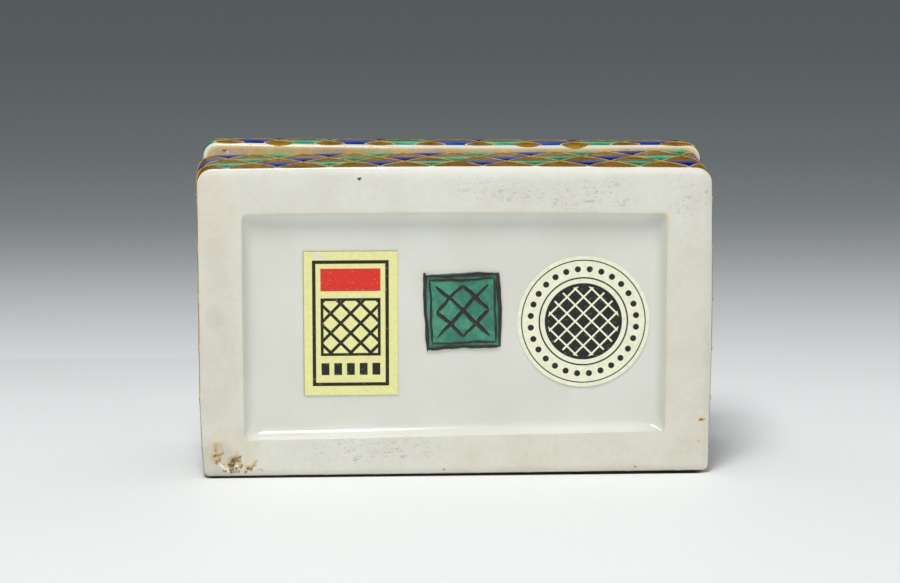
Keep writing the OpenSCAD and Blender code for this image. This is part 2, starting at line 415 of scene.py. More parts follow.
def tray_rings(shape, pattern):
    """Rings of the tray from the middle of its recess, round the foot and the lip, to its hollow's floor."""
    rings = []
    half_x, half_y = TRAY_HIGH.x, TRAY_HIGH.y
    recess_z = LABEL_HIGH.z
    ledge_z, lip_z = LID_LOW.z, TRAY_HIGH.z
    floor_z = recess_z + shape.floor_wall

    def recess(inset, height, bare=0, seam=0):
        ease = held(inset / shape.recess_slope)
        corner = shape.mouth_corner + (shape.recess_corner - shape.mouth_corner) * ease
        ring = outline(half_x - shape.foot_ring - inset, half_y - shape.foot_ring - inset,
                       shape.recess_shift, corner, corner)
        skewed, thin = [], []
        # Painted shade on the recess walls: full where the wall is steep near the mouth, on the right wall,
        # weaker on the left; kept in the list and attribute named thin
        floor_inset, wall_run = 1.9 * MM, 1.3 * MM
        shade_by_inset = held((floor_inset - inset) / wall_run) if inset > 0 else 0.0
        front_y, whole_depth = -17 * MM, 35 * MM
        for x, y in ring:
            end = x / (half_x - shape.foot_ring - inset)
            thin.append(shade_by_inset * max(max(end, 0) ** 12, 0.3 * max(-end, 0) ** 12))
            back_share = held((y - front_y) / whole_depth)
            front_skew = -0.1 * MM + 0.0025 * x
            back_skew = 0.15 * MM - 0.0103 * x
            skewed.append((x, y + front_skew * (1 - back_share) + back_skew * back_share))
        rings.append((skewed, height, {"bare": bare, "seam": seam, "thin": thin}))

    def wall(reach, height, bare=0, gilt=0):
        front, back = (max(corner + reach, 0.2 * MM) for corner in (shape.front_corner, shape.back_corner))
        points = outline(half_x + reach, half_y + reach, 0, front, back)
        rings.append((points, height, {"bare": bare, "gilt": gilt}))

    def lip(reach, height, bare, corner):
        lip_x = LID_HIGH.x - shape.lid_wall - shape.lid_play + reach
        lip_y = LID_HIGH.y - shape.lid_wall - shape.lid_play + reach
        rings.append((outline(lip_x, lip_y, 0, corner, corner), height, {"bare": bare}))

    # Recess: its floor, its fillet, its leaning wall and its mouth
    for inset, sink in RECESS_SECTION:
        recess(inset * MM, recess_z - sink * MM)
    recess(0.02 * MM, recess_z - 1.78 * MM, 0.3, 0.8)
    recess(-0.12 * MM, 0, 0.7, 1)
    recess(-0.3 * MM, 0, 1, 0.5)
    recess(-0.6 * MM, 0, 1)
    # Foot edge and outer wall
    runs = run_along(outline(half_x, half_y, 0, shape.front_corner, shape.back_corner))
    rounding = foot_rounding(shape, -FOOT_TURN, FOOT_STEPS)

    def gilded(degrees, rise=0.0):
        above = math.radians(degrees) * shape.foot_edge + rise
        return gold_edge(pattern, runs, above, 0, 0.5, pattern.foot_sag, pattern.tip_gap)

    crown_steps = 5
    for step in range(crown_steps):
        share = step / crown_steps
        wall(rounding[0][0] - (1 - share) * MM, shape.foot_crown * share ** 2, 1)
    for step, (reach, height) in enumerate(rounding):
        degrees = step * FOOT_TURN / FOOT_STEPS - FOOT_TURN + GOLD_START
        wall(reach, height, max(1 - step / 4, 0), gilded(degrees))
    edge = rounding[-1][1]
    for rise in (0.1, 0.25, 0.5):
        wall(0, edge + rise * MM, 0, gilded(GOLD_START, rise * MM))
    for share in (0.25, 0.5, 0.75):
        wall(0, edge + (ledge_z - shape.ledge_edge - edge) * share, 0, 1)
    wall(0, ledge_z - shape.ledge_edge - 0.3 * MM, 0, 1)
    ledge = arc(-shape.ledge_edge, ledge_z - shape.ledge_edge, shape.ledge_edge, 0, 90, 9)
    for step, (reach, height) in enumerate(ledge):
        wall(reach, height, held((step - 5) / 2), 1 if step < 3 else 0)
    wall(-shape.ledge_edge - 0.25 * MM, ledge_z, 1)
    # Lip, and down inside the hollow
    corner = shape.lip_corner
    lip(0.5 * MM, ledge_z, 1, corner + 0.5 * MM)
    for reach, height in reversed(arc(LIP_ROOT, ledge_z + LIP_ROOT, LIP_ROOT, 180, 270, 4)):
        lip(reach, height, 1, corner + reach)
    lip(0, ledge_z + 0.8 * MM, 1, corner)
    lip(0, lip_z - shape.lip_edge - 0.2 * MM, 1, corner)
    for reach, height in arc(-shape.lip_edge, lip_z - shape.lip_edge, shape.lip_edge, 0, 90, 5):
        lip(reach, height, 1, corner + reach)
    inner = shape.hollow_corner
    inset = -shape.lip_wall
    for reach, height in arc(INNER_EDGE, lip_z - INNER_EDGE, INNER_EDGE, 90, 180, 4):
        lip(inset + reach, height, 0.8 if reach > 0.2 * MM else 0.2, inner + reach)
    lip(inset, lip_z - 0.7 * MM, 0, inner)
    fillet = shape.floor_fillet
    lip(inset, floor_z + fillet + 0.3 * MM, 0, inner)
    for reach, height in arc(-fillet, floor_z + fillet, fillet, 0, -90, 8):
        lip(inset + reach, height, 0, max(inner + reach, 0.3 * MM))
    for extra in (0.3, 4, 11, 16):
        lip(inset - fillet - extra * MM, floor_z, 0, max(inner - fillet, 0.3 * MM))
    return rings


def lid_section(shape, pattern):
    """Section of the lid's pattern: from the lower edge, up the bowed wall, to its end under the top."""
    rim, foot_z = shape.lid_rim_edge, LID_LOW.z + shape.lid_rim_edge
    start = arc(-rim, foot_z, rim, -LID_GOLD_START, 0, LID_EDGE_STEPS)
    rise = (pattern.lid_end - pattern.lid_start) * pattern.row_height - path_length(start, False)
    whole = LID_HIGH.z - shape.lid_top_edge - foot_z
    heights = [rise * step / LID_WALL_STEPS for step in range(1, LID_WALL_STEPS + 1)]
    return start + [(-shape.lid_draft * (height / whole) ** 2, foot_z + height) for height in heights]


def lid_rings(shape, pattern):
    """Rings of the lid from the middle of its ceiling, round the rim and the wall, to its top's middle."""
    rings = []
    low_z, high_z = LID_LOW.z, LID_HIGH.z
    ceiling_z = high_z - shape.lid_top

    def inside(reach, height, bare):
        corner = max(shape.lid_hollow_corner + reach, 0.25 * MM)
        points = outline(LID_HIGH.x - shape.lid_wall + reach, LID_HIGH.y - shape.lid_wall + reach, 0,
                         corner, corner)
        rings.append((points, height, {"bare": bare}))

    def lid_outline(reach, least):
        front, back = (max(corner + reach, least) for corner in (shape.lid_corner, shape.back_corner))
        return outline(LID_HIGH.x + reach, LID_HIGH.y + reach, 0, front, back)

    def wall(reach, height, gilt=0):
        rings.append((lid_outline(reach, 0.3 * MM), height, {"gilt": gilt}))

    fillet = shape.ceiling_fillet
    for extra in (18, 12, 5, 0.3):
        inside(-fillet - extra * MM, ceiling_z, 0)
    for reach, height in reversed(arc(-fillet, ceiling_z - fillet, fillet, 0, 90, 8)):
        inside(reach, height, 0)
    inside(0, ceiling_z - fillet - 0.3 * MM, 0)
    inside(0, low_z + 1.6 * MM, 0)
    inside(0, low_z + 1.2 * MM, 0.5)
    inside(0, low_z + 0.8 * MM, 1)
    for reach, height in arc(INNER_EDGE, low_z + INNER_EDGE, INNER_EDGE, 180, 270, 4):
        inside(reach, height, 1)
    edge = shape.lid_rim_edge
    runs = run_along(outline(LID_HIGH.x, LID_HIGH.y, 0, shape.lid_corner, shape.back_corner))
    ends = LID_HIGH.x - 1.2 * MM

    def rim(reach, height, bare, gilt=0, warm=0.0):
        points = lid_outline(reach, 0.2 * MM)
        shares = [bare * held((ends - abs(x)) / MM + 1) for x, y in points]
        tints = [max(warm, bare * (1 - abs(abs(x) - ends - 0.4 * MM) / (1.6 * MM))) for x, y in points]
        rings.append((points, height, {"bare": shares, "gilt": gilt, "seam": tints}))

    rim(-edge - 0.15 * MM, low_z, 1)
    for step, (reach, height) in enumerate(arc(-edge, low_z + edge, edge, -90, 0, 18)):
        above = math.radians(step * 5 - 90 + LID_GOLD_START) * edge
        bare = held((7.3 - step) / 3)
        gilt = gold_edge(pattern, runs, above, 0.5, 0.27, pattern.gold_sag, 0)
        warm = 0.7 if 3 < step < 13 else 0.0
        rim(reach, height, bare, gilt, warm)
    walls = lid_section(shape, pattern)[LID_EDGE_STEPS + 1:]
    for reach, height in walls:
        wall(reach, height, 1)
    wall(walls[-1][0], walls[-1][1] + 0.02 * MM)
    top = shape.lid_top_edge
    wall(-shape.lid_draft * 0.93, high_z - top - 0.3 * MM)
    for reach, height in arc(-top, high_z - top, top, 0, 90, 10):
        wall(reach - shape.lid_draft, height)
    for extra in (0.3, 3, 8, 14, 18):
        wall(-top - shape.lid_draft - extra * MM, high_z)
    return rings


# Nodes

class Wires:
    """Puts nodes into one tree and joins them up."""

    def __init__(self, tree):
        self.tree = tree

    def feed(self, socket, value):
        """Links a socket to another one, or sets its own value."""
        if isinstance(value, bpy.types.NodeSocket):
            self.tree.links.new(value, socket)
        else:
            socket.default_value = value

    def add(self, kind, inputs=None, **settings):
        """A new node with its inputs fed and its settings made."""
        node = self.tree.nodes.new(kind)
        for key, value in settings.items():
            setattr(node, key, value)
        for key, value in (inputs or {}).items():
            self.feed(node.inputs[key], value)
        return node

    def math(self, operation, *values):
        """The result of a sum on values."""
        return self.add("ShaderNodeMath", dict(enumerate(values)), operation=operation).outputs[0]

    def total(self, first, *others):
        """Values added up."""
        for other in others:
            first = self.math("ADD", first, other)
        return first

    def product(self, first, *others):
        """Values multiplied."""
        for other in others:
            first = self.math("MULTIPLY", first, other)
        return first

    def vector(self, operation, *values):
        """The result of a sum on vectors."""
        node = self.add("ShaderNodeVectorMath", dict(enumerate(values)), operation=operation)
        return node.outputs[1 if operation in {"LENGTH", "DOT_PRODUCT"} else 0]

    def times(self, vector, factor):
        """A vector made longer or shorter."""
        return self.add("ShaderNodeVectorMath", {0: vector, 3: factor}, operation="SCALE").outputs[0]

    def combine(self, x, y, z):
        """A vector of three values."""
        return self.add("ShaderNodeCombineXYZ", {0: x, 1: y, 2: z}).outputs[0]

    def split(self, vector):
        """The three values of a vector."""
        return self.add("ShaderNodeSeparateXYZ", {0: vector}).outputs

    def blend(self, share, start, end):
        """A colour between two others."""
        start = start if isinstance(start, bpy.types.NodeSocket) else (*start, 1)
        end = end if isinstance(end, bpy.types.NodeSocket) else (*end, 1)
        return self.add("ShaderNodeMix", {0: share, 6: start, 7: end}, data_type="RGBA").outputs[2]

    def between(self, share, start, end):
        """A value between two others."""
        return self.add("ShaderNodeMix", {0: share, 2: start, 3: end}, data_type="FLOAT").outputs[0]

    def ease(self, value, low, high, start=0.0, end=1.0):
        """A value eased from start to end as it goes from low to high."""
        return self.add("ShaderNodeMapRange", {0: value, 1: low, 2: high, 3: start, 4: end},
                        interpolation_type="SMOOTHSTEP").outputs[0]

    def noise(self, vector, scale, detail=2.0, roughness=0.5):
        """A soft noise from 0 to 1."""
        return self.add("ShaderNodeTexNoise", {"Vector": vector, "Scale": scale, "Detail": detail,
                                               "Roughness": roughness}).outputs[0]

    def named(self, name):
        """A mesh attribute of a geometry tree."""
        return self.add("GeometryNodeInputNamedAttribute", {"Name": name}, data_type="FLOAT").outputs[0]

    def keep(self, geometry, name, value):
        """Stores a value on a geometry tree's points."""
        inputs = {"Geometry": geometry, "Name": name, "Value": value}
        return self.add("GeometryNodeStoreNamedAttribute", inputs, data_type="FLOAT",
                        domain="POINT").outputs[0]

    def dress(self, geometry):
        """Ends a geometry tree with one plain mesh in its material."""
        single = self.add("GeometryNodeRealizeInstances", {"Geometry": geometry}).outputs[0]
        dressed = self.add("GeometryNodeSetMaterial", {"Geometry": single, "Material": self.given["Finish"]})
        self.feed(self.result[0], dressed.outputs[0])
        return self.tree


def new_group(name, kind, inputs, outputs):
    """A node group with named inputs and outputs, ready for its nodes."""
    tree = bpy.data.node_groups.new(name, kind)
    for label, socket in inputs:
        tree.interface.new_socket(name=label, in_out="INPUT", socket_type="NodeSocket" + socket)
    for label, socket in outputs:
        tree.interface.new_socket(name=label, in_out="OUTPUT", socket_type="NodeSocket" + socket)
    wires = Wires(tree)
    given = wires.add("NodeGroupInput").outputs
    wires.given = {label: given[label] for label, socket in inputs}
    wires.result = wires.add("NodeGroupOutput").inputs
    return wires


def wrap_group():
    """Lays flat points round a wall: along its plan, up its section, and out by a height."""
    w = new_group("wrap_round_wall", "GeometryNodeTree",
                  [("Geometry", "Geometry"), ("Plan", "Object"), ("Section", "Object"), ("Along", "Float"),
                   ("Up", "Float"), ("Height", "Float")], [("Geometry", "Geometry")])
    given = w.given
    plan = w.add("GeometryNodeObjectInfo", {"Object": given["Plan"]}).outputs["Geometry"]
    section = w.add("GeometryNodeObjectInfo", {"Object": given["Section"]}).outputs["Geometry"]
    whole = w.add("GeometryNodeCurveLength", {0: plan}).outputs[0]
    along = w.math("WRAP", given["Along"], whole, 0.0)
    on_plan = w.add("GeometryNodeSampleCurve", {"Curves": plan, "Length": along}, mode="LENGTH").outputs
    on_section = w.add("GeometryNodeSampleCurve", {"Curves": section, "Length": given["Up"]},
                       mode="LENGTH").outputs
    outward = w.vector("NORMALIZE", w.vector("CROSS_PRODUCT", on_plan["Tangent"], (0, 0, 1)))
    place = w.split(on_section["Position"])
    rise = w.split(on_section["Tangent"])
    out = w.math("MULTIPLY_ADD", given["Height"], rise[2], place[0])
    lift = w.math("SUBTRACT", place[2], w.product(given["Height"], rise[0]))
    point = w.vector("ADD", on_plan["Position"], w.times(outward, out))
    point = w.vector("ADD", point, w.combine(0, 0, lift))
    moved = w.add("GeometryNodeSetPosition", {"Geometry": given["Geometry"], "Position": point}).outputs[0]
    w.feed(w.result[0], moved)
    return w.tree


PATTERN_INPUTS = [("Geometry", "Geometry"), ("Plan", "Object"), ("Section", "Object"), ("Columns", "Int"),
                  ("Period", "Float"), ("Row height", "Float"), ("Start", "Float"), ("Low", "Float"),
                  ("High", "Float"), ("Section start", "Float"), ("Left", "Float"), ("Right", "Float"),
                  ("Bulge", "Float"), ("Thickness", "Float"), ("Finish", "Material")]


def finish_pattern(w, wrap, geometry, along, up, height):
    """Wraps a tree's flat pattern, closes its tips and gives it its material."""
    given = w.given
    wrapped = w.add("GeometryNodeGroup", {}, node_tree=wrap)
    values = {"Geometry": geometry, "Plan": given["Plan"], "Section": given["Section"], "Along": along,
              "Up": w.math("SUBTRACT", up, given["Section start"]), "Height": height}
    for key, value in values.items():
        w.feed(wrapped.inputs[key], value)
    merged = w.add("GeometryNodeMergeByDistance", {"Geometry": wrapped.outputs[0],
                                                   "Distance": TIP_REACH}).outputs[0]
    return w.dress(w.add("GeometryNodeSetShadeSmooth", {"Geometry": merged}).outputs[0])


def scales_tree(wrap):
    """Rows of enamel scales: triangles on their tips, with bowed sides and a low dome."""
    w = new_group("enamel_scales", "GeometryNodeTree",
                  PATTERN_INPUTS + [("First row", "Int"), ("Rows", "Int"), ("Sunk", "Float"),
                                    ("Seed", "Int")],
                  [("Geometry", "Geometry")])
    given = w.given
    index = w.add("GeometryNodeInputIndex").outputs[0]
    column = w.math("FLOORED_MODULO", index, given["Columns"])
    row = w.total(w.math("FLOOR", w.math("DIVIDE", index, given["Columns"])), given["First row"])
    half_period = w.product(given["Period"], 0.5)
    middle = w.total(given["Start"], w.product(column, given["Period"], 2.0), w.product(row, half_period))
    points = w.add("GeometryNodePoints", {"Count": w.product(given["Columns"], given["Rows"])}).outputs[0]
    points = w.keep(points, "row", row)
    points = w.keep(points, "middle", middle)
    tint = w.add("FunctionNodeRandomValue", {"Seed": given["Seed"]}, data_type="FLOAT").outputs[1]
    points = w.keep(points, "tint", tint)
    scale = w.add("GeometryNodeMeshCube", {"Vertices X": 9, "Vertices Y": 5, "Vertices Z": 2}).outputs[0]
    corner = w.split(w.add("GeometryNodeInputPosition").outputs[0])
    scale = w.keep(scale, "across", w.product(corner[0], 2.0))
    scale = w.keep(scale, "share", w.total(corner[1], 0.5))
    scale = w.keep(scale, "face", w.total(corner[2], 0.5))
    scales = w.add("GeometryNodeInstanceOnPoints", {"Points": points, "Instance": scale}).outputs[0]
    scales = w.add("GeometryNodeRealizeInstances", {"Geometry": scales}).outputs[0]
    across, row = w.named("across"), w.named("row")
    low = w.math("MAXIMUM", given["Low"], w.product(row, given["Row height"]))
    high = w.math("MINIMUM", given["High"], w.product(w.total(row, 1.0), given["Row height"]))
    up = w.between(w.named("share"), low, high)
    share = w.math("SUBTRACT", w.math("DIVIDE", up, given["Row height"]), row)
    swell = w.product(share, w.math("SUBTRACT", 1.0, share), 4.0)
    half = w.math("SUBTRACT", w.product(half_period, share), w.product(given["Bulge"], swell))
    half = w.math("MAXIMUM", half, 0.0)
    along = w.math("MULTIPLY_ADD", across, half, w.named("middle"))
    along = w.math("MINIMUM", w.math("MAXIMUM", along, given["Left"]), given["Right"])
    dome = w.math("SUBTRACT", 1.0, w.math("POWER", w.math("ABSOLUTE", across), 2.5))
    off_middle = w.math("ABSOLUTE", w.math("MULTIPLY_ADD", w.named("share"), 2.0, -1.0))
    ends = w.math("SUBTRACT", 1.0, w.math("POWER", off_middle, 4.0))
    crown = w.product(given["Thickness"], w.math("MULTIPLY_ADD", w.product(dome, ends), 0.3, 0.7))
    height = w.math("SUBTRACT", w.product(w.named("face"), w.total(crown, given["Sunk"])), given["Sunk"])
    scales = w.keep(scales, "pool", share)
    return finish_pattern(w, wrap, scales, along, up, height)


def lines_tree(wrap):
    """Raised gold lines along both diagonals of the scales."""
    w = new_group("gold_lines", "GeometryNodeTree", PATTERN_INPUTS + [("Width", "Float")],
                  [("Geometry", "Geometry")])
    given = w.given
    index = w.add("GeometryNodeInputIndex").outputs[0]
    points = w.add("GeometryNodePoints", {"Count": w.product(given["Columns"], 2)}).outputs[0]
    first = w.math("MULTIPLY_ADD", w.math("FLOORED_MODULO", index, given["Columns"]), given["Period"],
                   given["Start"])
    points = w.keep(points, "first", first)
    leaning = w.math("LESS_THAN", index, w.math("SUBTRACT", given["Columns"], 0.5))
    points = w.keep(points, "lean", w.math("MULTIPLY_ADD", leaning, 2.0, -1.0))
    line = w.add("GeometryNodeMeshCylinder", {"Vertices": 6, "Side Segments": 28, "Radius": 1.0,
                                              "Depth": 1.0}).outputs[0]
    corner = w.split(w.add("GeometryNodeInputPosition").outputs[0])
    line = w.keep(line, "side", corner[0])
    line = w.keep(line, "face", corner[1])
    line = w.keep(line, "run", w.total(corner[2], 0.5))
    lines = w.add("GeometryNodeInstanceOnPoints", {"Points": points, "Instance": line}).outputs[0]
    lines = w.add("GeometryNodeRealizeInstances", {"Geometry": lines}).outputs[0]
    lean, side = w.named("lean"), w.named("side")
    up = w.between(w.named("run"), given["Low"], given["High"])
    rows = w.math("DIVIDE", up, given["Row height"])
    share = w.math("FRACT", rows)
    swell = w.product(share, w.math("SUBTRACT", 1.0, share), 4.0, given["Bulge"])
    half_period = w.product(given["Period"], 0.5)
    aside = w.math("SUBTRACT", w.product(half_period, rows), swell)
    path = w.math("MULTIPLY_ADD", lean, aside, w.named("first"))
    wander = w.noise(w.combine(w.product(path, 260.0), w.product(up, 260.0), lean), 1.0)
    radius = w.product(given["Width"], w.ease(wander, 0.2, 0.8, 0.3, 0.7))
    slope = w.math("SQRT", w.total(w.product(half_period, half_period),
                                   w.product(given["Row height"], given["Row height"])))
    along = w.total(path, w.math("DIVIDE", w.product(side, radius, given["Row height"]), slope))
    along = w.math("MINIMUM", w.math("MAXIMUM", along, given["Left"]), given["Right"])
    up = w.math("SUBTRACT", up, w.math("DIVIDE", w.product(side, radius, lean, half_period), slope))
    up = w.math("MINIMUM", w.math("MAXIMUM", up, given["Low"]), given["High"])
    height = w.product(w.math("MULTIPLY_ADD", w.named("face"), 0.7, 0.3), given["Thickness"])
    return finish_pattern(w, wrap, lines, along, up, height)


def strokes_tree():
    """Raised strokes along curves, as wide as the curves' own radius and pressed flat."""
    w = new_group("raised_strokes", "GeometryNodeTree",
                  [("Geometry", "Geometry"), ("Path", "Object"), ("Level", "Float"), ("Flat", "Float"),
                   ("Finish", "Material")], [("Geometry", "Geometry")])
    given = w.given
    path = w.add("GeometryNodeObjectInfo", {"Object": given["Path"]}).outputs["Geometry"]
    ring = w.add("GeometryNodeCurvePrimitiveCircle", {"Resolution": 8, "Radius": 1.0}).outputs[0]
    radius = w.add("GeometryNodeInputRadius").outputs[0]
    tube = w.add("GeometryNodeCurveToMesh", {"Curve": path, "Profile Curve": ring, "Scale": radius,
                                             "Fill Caps": True}).outputs[0]
    place = w.split(w.add("GeometryNodeInputPosition").outputs[0])
    level = w.between(given["Flat"], given["Level"], place[2])
    tube = w.add("GeometryNodeSetPosition", {"Geometry": tube,
                                             "Position": w.combine(place[0], place[1], level)}).outputs[0]
    return w.dress(w.add("GeometryNodeSetShadeSmooth", {"Geometry": tube}).outputs[0])


def sheet_tree():
    """A thin sheet on the recess floor: from a rectangle to a disc, flat or waving, and domed or not."""
    w = new_group("thin_sheet", "GeometryNodeTree",
                  [("Geometry", "Geometry"), ("Middle", "Vector"), ("Width", "Float"), ("Depth", "Float"),
                   ("Round", "Float"), ("Turn", "Float"), ("Thickness", "Float"), ("Dome", "Float"),
                   ("Wave", "Float"), ("Ragged", "Float"), ("Finish", "Material")],
                  [("Geometry", "Geometry")])
    given = w.given
    slab = w.add("GeometryNodeMeshCube", {"Vertices X": 41, "Vertices Y": 41, "Vertices Z": 2}).outputs[0]
    place = w.split(w.add("GeometryNodeInputPosition").outputs[0])
    across, deep, face = w.product(place[0], 2.0), w.product(place[1], 2.0), w.total(place[2], 0.5)

    def rounded(here, other):
        pull = w.math("SQRT", w.math("MULTIPLY_ADD", w.product(other, other), -0.5, 1.0))
        return w.product(here, w.between(given["Round"], 1.0, pull))

    edge = w.math("MAXIMUM", w.math("ABSOLUTE", across), w.math("ABSOLUTE", deep))
    seat = w.combine(w.product(across, 2.2), w.product(deep, 2.2), w.product(given["Width"], 900.0))
    rough = w.math("SUBTRACT", w.noise(seat, 1.6, 3.0), 0.5)
    rough = w.product(rough, given["Ragged"], w.math("POWER", edge, 4.0))
    x = w.product(w.total(w.product(given["Width"], 0.5), rough), rounded(across, deep))
    y = w.product(w.total(w.product(given["Depth"], 0.5), rough), rounded(deep, across))
    wave = w.product(w.noise(seat, 0.5, 1.0), given["Wave"], w.math("POWER", edge, 2.0))
    dome = w.product(given["Dome"], w.math("SUBTRACT", 1.0, w.math("POWER", edge, 5.0)))
    drop = w.total(w.product(w.math("SUBTRACT", 1.0, face), w.total(given["Thickness"], dome)), wave)
    flat = w.add("ShaderNodeVectorRotate", {"Vector": w.combine(x, y, 0.0), "Angle": given["Turn"]},
                 rotation_type="Z_AXIS").outputs[0]
    lowered = w.vector("SUBTRACT", w.vector("ADD", flat, given["Middle"]), w.combine(0.0, 0.0, drop))
    return w.dress(w.add("GeometryNodeSetPosition", {"Geometry": slab, "Position": lowered}).outputs[0])


def guide(name, *runs):
    """A curve of runs of (points, widths, closed) for a tree to follow, until the piece is made."""
    data = bpy.data.curves.new(name, "CURVE")
    data.dimensions = "3D"
    for points, widths, closed in runs:
        spline = data.splines.new("POLY")
        spline.points.add(len(points) - 1)
        for index, (point, place) in enumerate(zip(spline.points, points)):
            point.co = (*place, 1)
            point.radius = widths[index] / 2 if widths else 1.0
        spline.use_cyclic_u = closed
    curve = bpy.data.objects.new(name, data)
    bpy.context.scene.collection.objects.link(curve)
    return curve


def path_length(points, closed):
    """Length of a run of points."""
    ends = points[1:] + points[:1] if closed else points[1:]
    return sum(math.dist(here, there) for here, there in zip(points, ends))


def grow(name, tree, values):
    """Runs a geometry tree with these values and keeps its result as a plain mesh."""
    host = bpy.data.objects.new(name, bpy.data.meshes.new(name))
    bpy.context.scene.collection.objects.link(host)
    modifier = host.modifiers.new("pattern", "NODES")
    modifier.node_group = tree
    for item in tree.interface.items_tree:
        if item.in_out == "INPUT" and item.name in values:
            modifier[item.identifier] = values[item.name]
    bpy.context.view_layer.update()
    made = bpy.data.meshes.new_from_object(host.evaluated_get(bpy.context.evaluated_depsgraph_get()))
    if not made.polygons:
        raise RuntimeError(name + " came out empty")
    blank = host.data
    host.modifiers.remove(modifier)
    host.data = made
    bpy.data.meshes.remove(blank)
    made.name = name
    return host


# Finishes

def inked(w, past):
    """Ink up to a printed edge, from how far past that edge a point lies."""
    return w.ease(past, -INK_EDGE, INK_EDGE, 1.0, 0.0)


def shared_groups():
    """The effects that several finishes use."""
    groups = {}
    w = new_group("glaze_ripple", "ShaderNodeTree", [("Vector", "Vector"), ("Scale", "Float")],
                  [("Height", "Float")])
    broad = w.noise(w.given["Vector"], w.given["Scale"], 2.0)
    fine = w.noise(w.given["Vector"], w.product(w.given["Scale"], 5.0), 2.0)
    w.feed(w.result[0], w.math("MULTIPLY_ADD", fine, 0.2, broad))
    groups["ripple"] = w.tree

    w = new_group("kiln_specks", "ShaderNodeTree",
                  [("Vector", "Vector"), ("Scale", "Float"), ("Size", "Float"), ("Share", "Float")],
                  [("Mask", "Float")])
    cells = w.add("ShaderNodeTexVoronoi", {"Vector": w.given["Vector"], "Scale": w.given["Scale"]}).outputs
    chosen = w.math("LESS_THAN", w.split(cells["Color"])[0], w.given["Share"])
    near = w.ease(w.math("DIVIDE", cells["Distance"], w.given["Size"]), 0.5, 1.0, 1.0, 0.0)
    w.feed(w.result[0], w.product(chosen, near))
    groups["specks"] = w.tree

    w = new_group("rubbed_marks", "ShaderNodeTree",
                  [("Vector", "Vector"), ("Scale", "Float"), ("Width", "Float"), ("Cover", "Float")],
                  [("Mask", "Float")])
    cloud = w.noise(w.given["Vector"], w.given["Scale"], 3.0, 0.6)
    line = w.math("ABSOLUTE", w.math("SUBTRACT", cloud, 0.5))
    thin = w.ease(w.math("DIVIDE", line, w.given["Width"]), 0.0, 1.0, 1.0, 0.0)
    broken = w.noise(w.given["Vector"], w.product(w.given["Scale"], 2.3), 2.0)
    w.feed(w.result[0], w.product(thin, w.ease(broken, w.math("SUBTRACT", 0.75, w.given["Cover"]), 0.75)))
    groups["marks"] = w.tree

    w = new_group("soft_patch", "ShaderNodeTree",
                  [("Vector", "Vector"), ("Place", "Vector"), ("Size", "Vector"), ("Turn", "Float")],
                  [("Mask", "Float")])
    turned = w.add("ShaderNodeVectorRotate", {"Vector": w.given["Vector"], "Center": w.given["Place"],
                                              "Angle": w.given["Turn"]}, rotation_type="Z_AXIS").outputs[0]
    away = w.vector("DIVIDE", w.vector("SUBTRACT", turned, w.given["Place"]), w.given["Size"])
    w.feed(w.result[0], w.ease(w.vector("LENGTH", away), 0.55, 1.0, 1.0, 0.0))
    groups["patch"] = w.tree

    w = new_group("printed_box", "ShaderNodeTree",
                  [("Vector", "Vector"), ("Middle", "Vector"), ("Half size", "Vector")], [("Mask", "Float")])
    away = w.vector("ABSOLUTE", w.vector("SUBTRACT", w.given["Vector"], w.given["Middle"]))
    past = w.split(w.vector("SUBTRACT", away, w.given["Half size"]))
    w.feed(w.result[0], inked(w, w.math("MAXIMUM", past[0], past[1])))
    groups["box"] = w.tree

    w = new_group("printed_lattice", "ShaderNodeTree",
                  [("Vector", "Vector"), ("Pitch", "Float"), ("Width", "Float")], [("Mask", "Float")])
    place = w.split(w.given["Vector"])
    masks = []
    for lean in ("ADD", "SUBTRACT"):
        run = w.math("DIVIDE", w.math(lean, place[0], place[1]), w.given["Pitch"])
        off = w.product(w.math("ABSOLUTE", w.math("SUBTRACT", w.math("FRACT", run), 0.5)), w.given["Pitch"])
        masks.append(inked(w, w.math("SUBTRACT", off, w.given["Width"])))
    w.feed(w.result[0], w.math("MAXIMUM", *masks))
    groups["lattice"] = w.tree

    w = new_group("printed_ring", "ShaderNodeTree",
                  [("Vector", "Vector"), ("Radius", "Float"), ("Half width", "Float")], [("Mask", "Float")])
    off = w.math("ABSOLUTE", w.math("SUBTRACT", w.vector("LENGTH", w.given["Vector"]), w.given["Radius"]))
    w.feed(w.result[0], inked(w, w.math("SUBTRACT", off, w.given["Half width"])))
    groups["ring"] = w.tree
    return groups


GROUPS = {}


def shared(w, key, **inputs):
    """Places a shared effect in a finish and returns what it puts out."""
    if not GROUPS:
        GROUPS.update(shared_groups())
    node = w.add("ShaderNodeGroup", {}, node_tree=GROUPS[key])
    for label, value in inputs.items():
        w.feed(node.inputs[label.replace("_", " ")], value)
    return node.outputs[0]


def new_finish(name, **shader):
    """A material with one Principled shader, and the wires to dress it."""
    material = bpy.data.materials.new(name)
    material.use_nodes = True
    material.node_tree.nodes.clear()
    w = Wires(material.node_tree)
    sheet = w.add("ShaderNodeOutputMaterial")
    w.shader = w.add("ShaderNodeBsdfPrincipled", shader).inputs
    w.feed(sheet.inputs["Surface"], w.shader[0].node.outputs[0])
    w.place = w.add("ShaderNodeTexCoord").outputs["Object"]
    w.material = material
    return w


def attribute(w, name):
    """A mesh attribute of a finish."""
    return w.add("ShaderNodeAttribute", attribute_name=name).outputs["Fac"]


def bump(w, height, distance, strength=1.0):
    """Feeds the shader's normal from a height."""
    w.feed(w.shader["Normal"], w.add("ShaderNodeBump", {"Height": height, "Distance": distance,
                                                        "Strength": strength}).outputs[0])


def ragged(w, vector, reach):
    """A place nudged aside by a fine noise, so that a mark drawn there has a ragged edge."""
    fine = {"Vector": vector, "Scale": 1100.0, "Detail": 4.0, "Roughness": 0.7}
    aside = w.add("ShaderNodeTexNoise", fine).outputs["Color"]
    nudge = w.times(w.vector("SUBTRACT", aside, (0.5, 0.5, 0.5)), reach)
    return w.vector("ADD", vector, nudge)


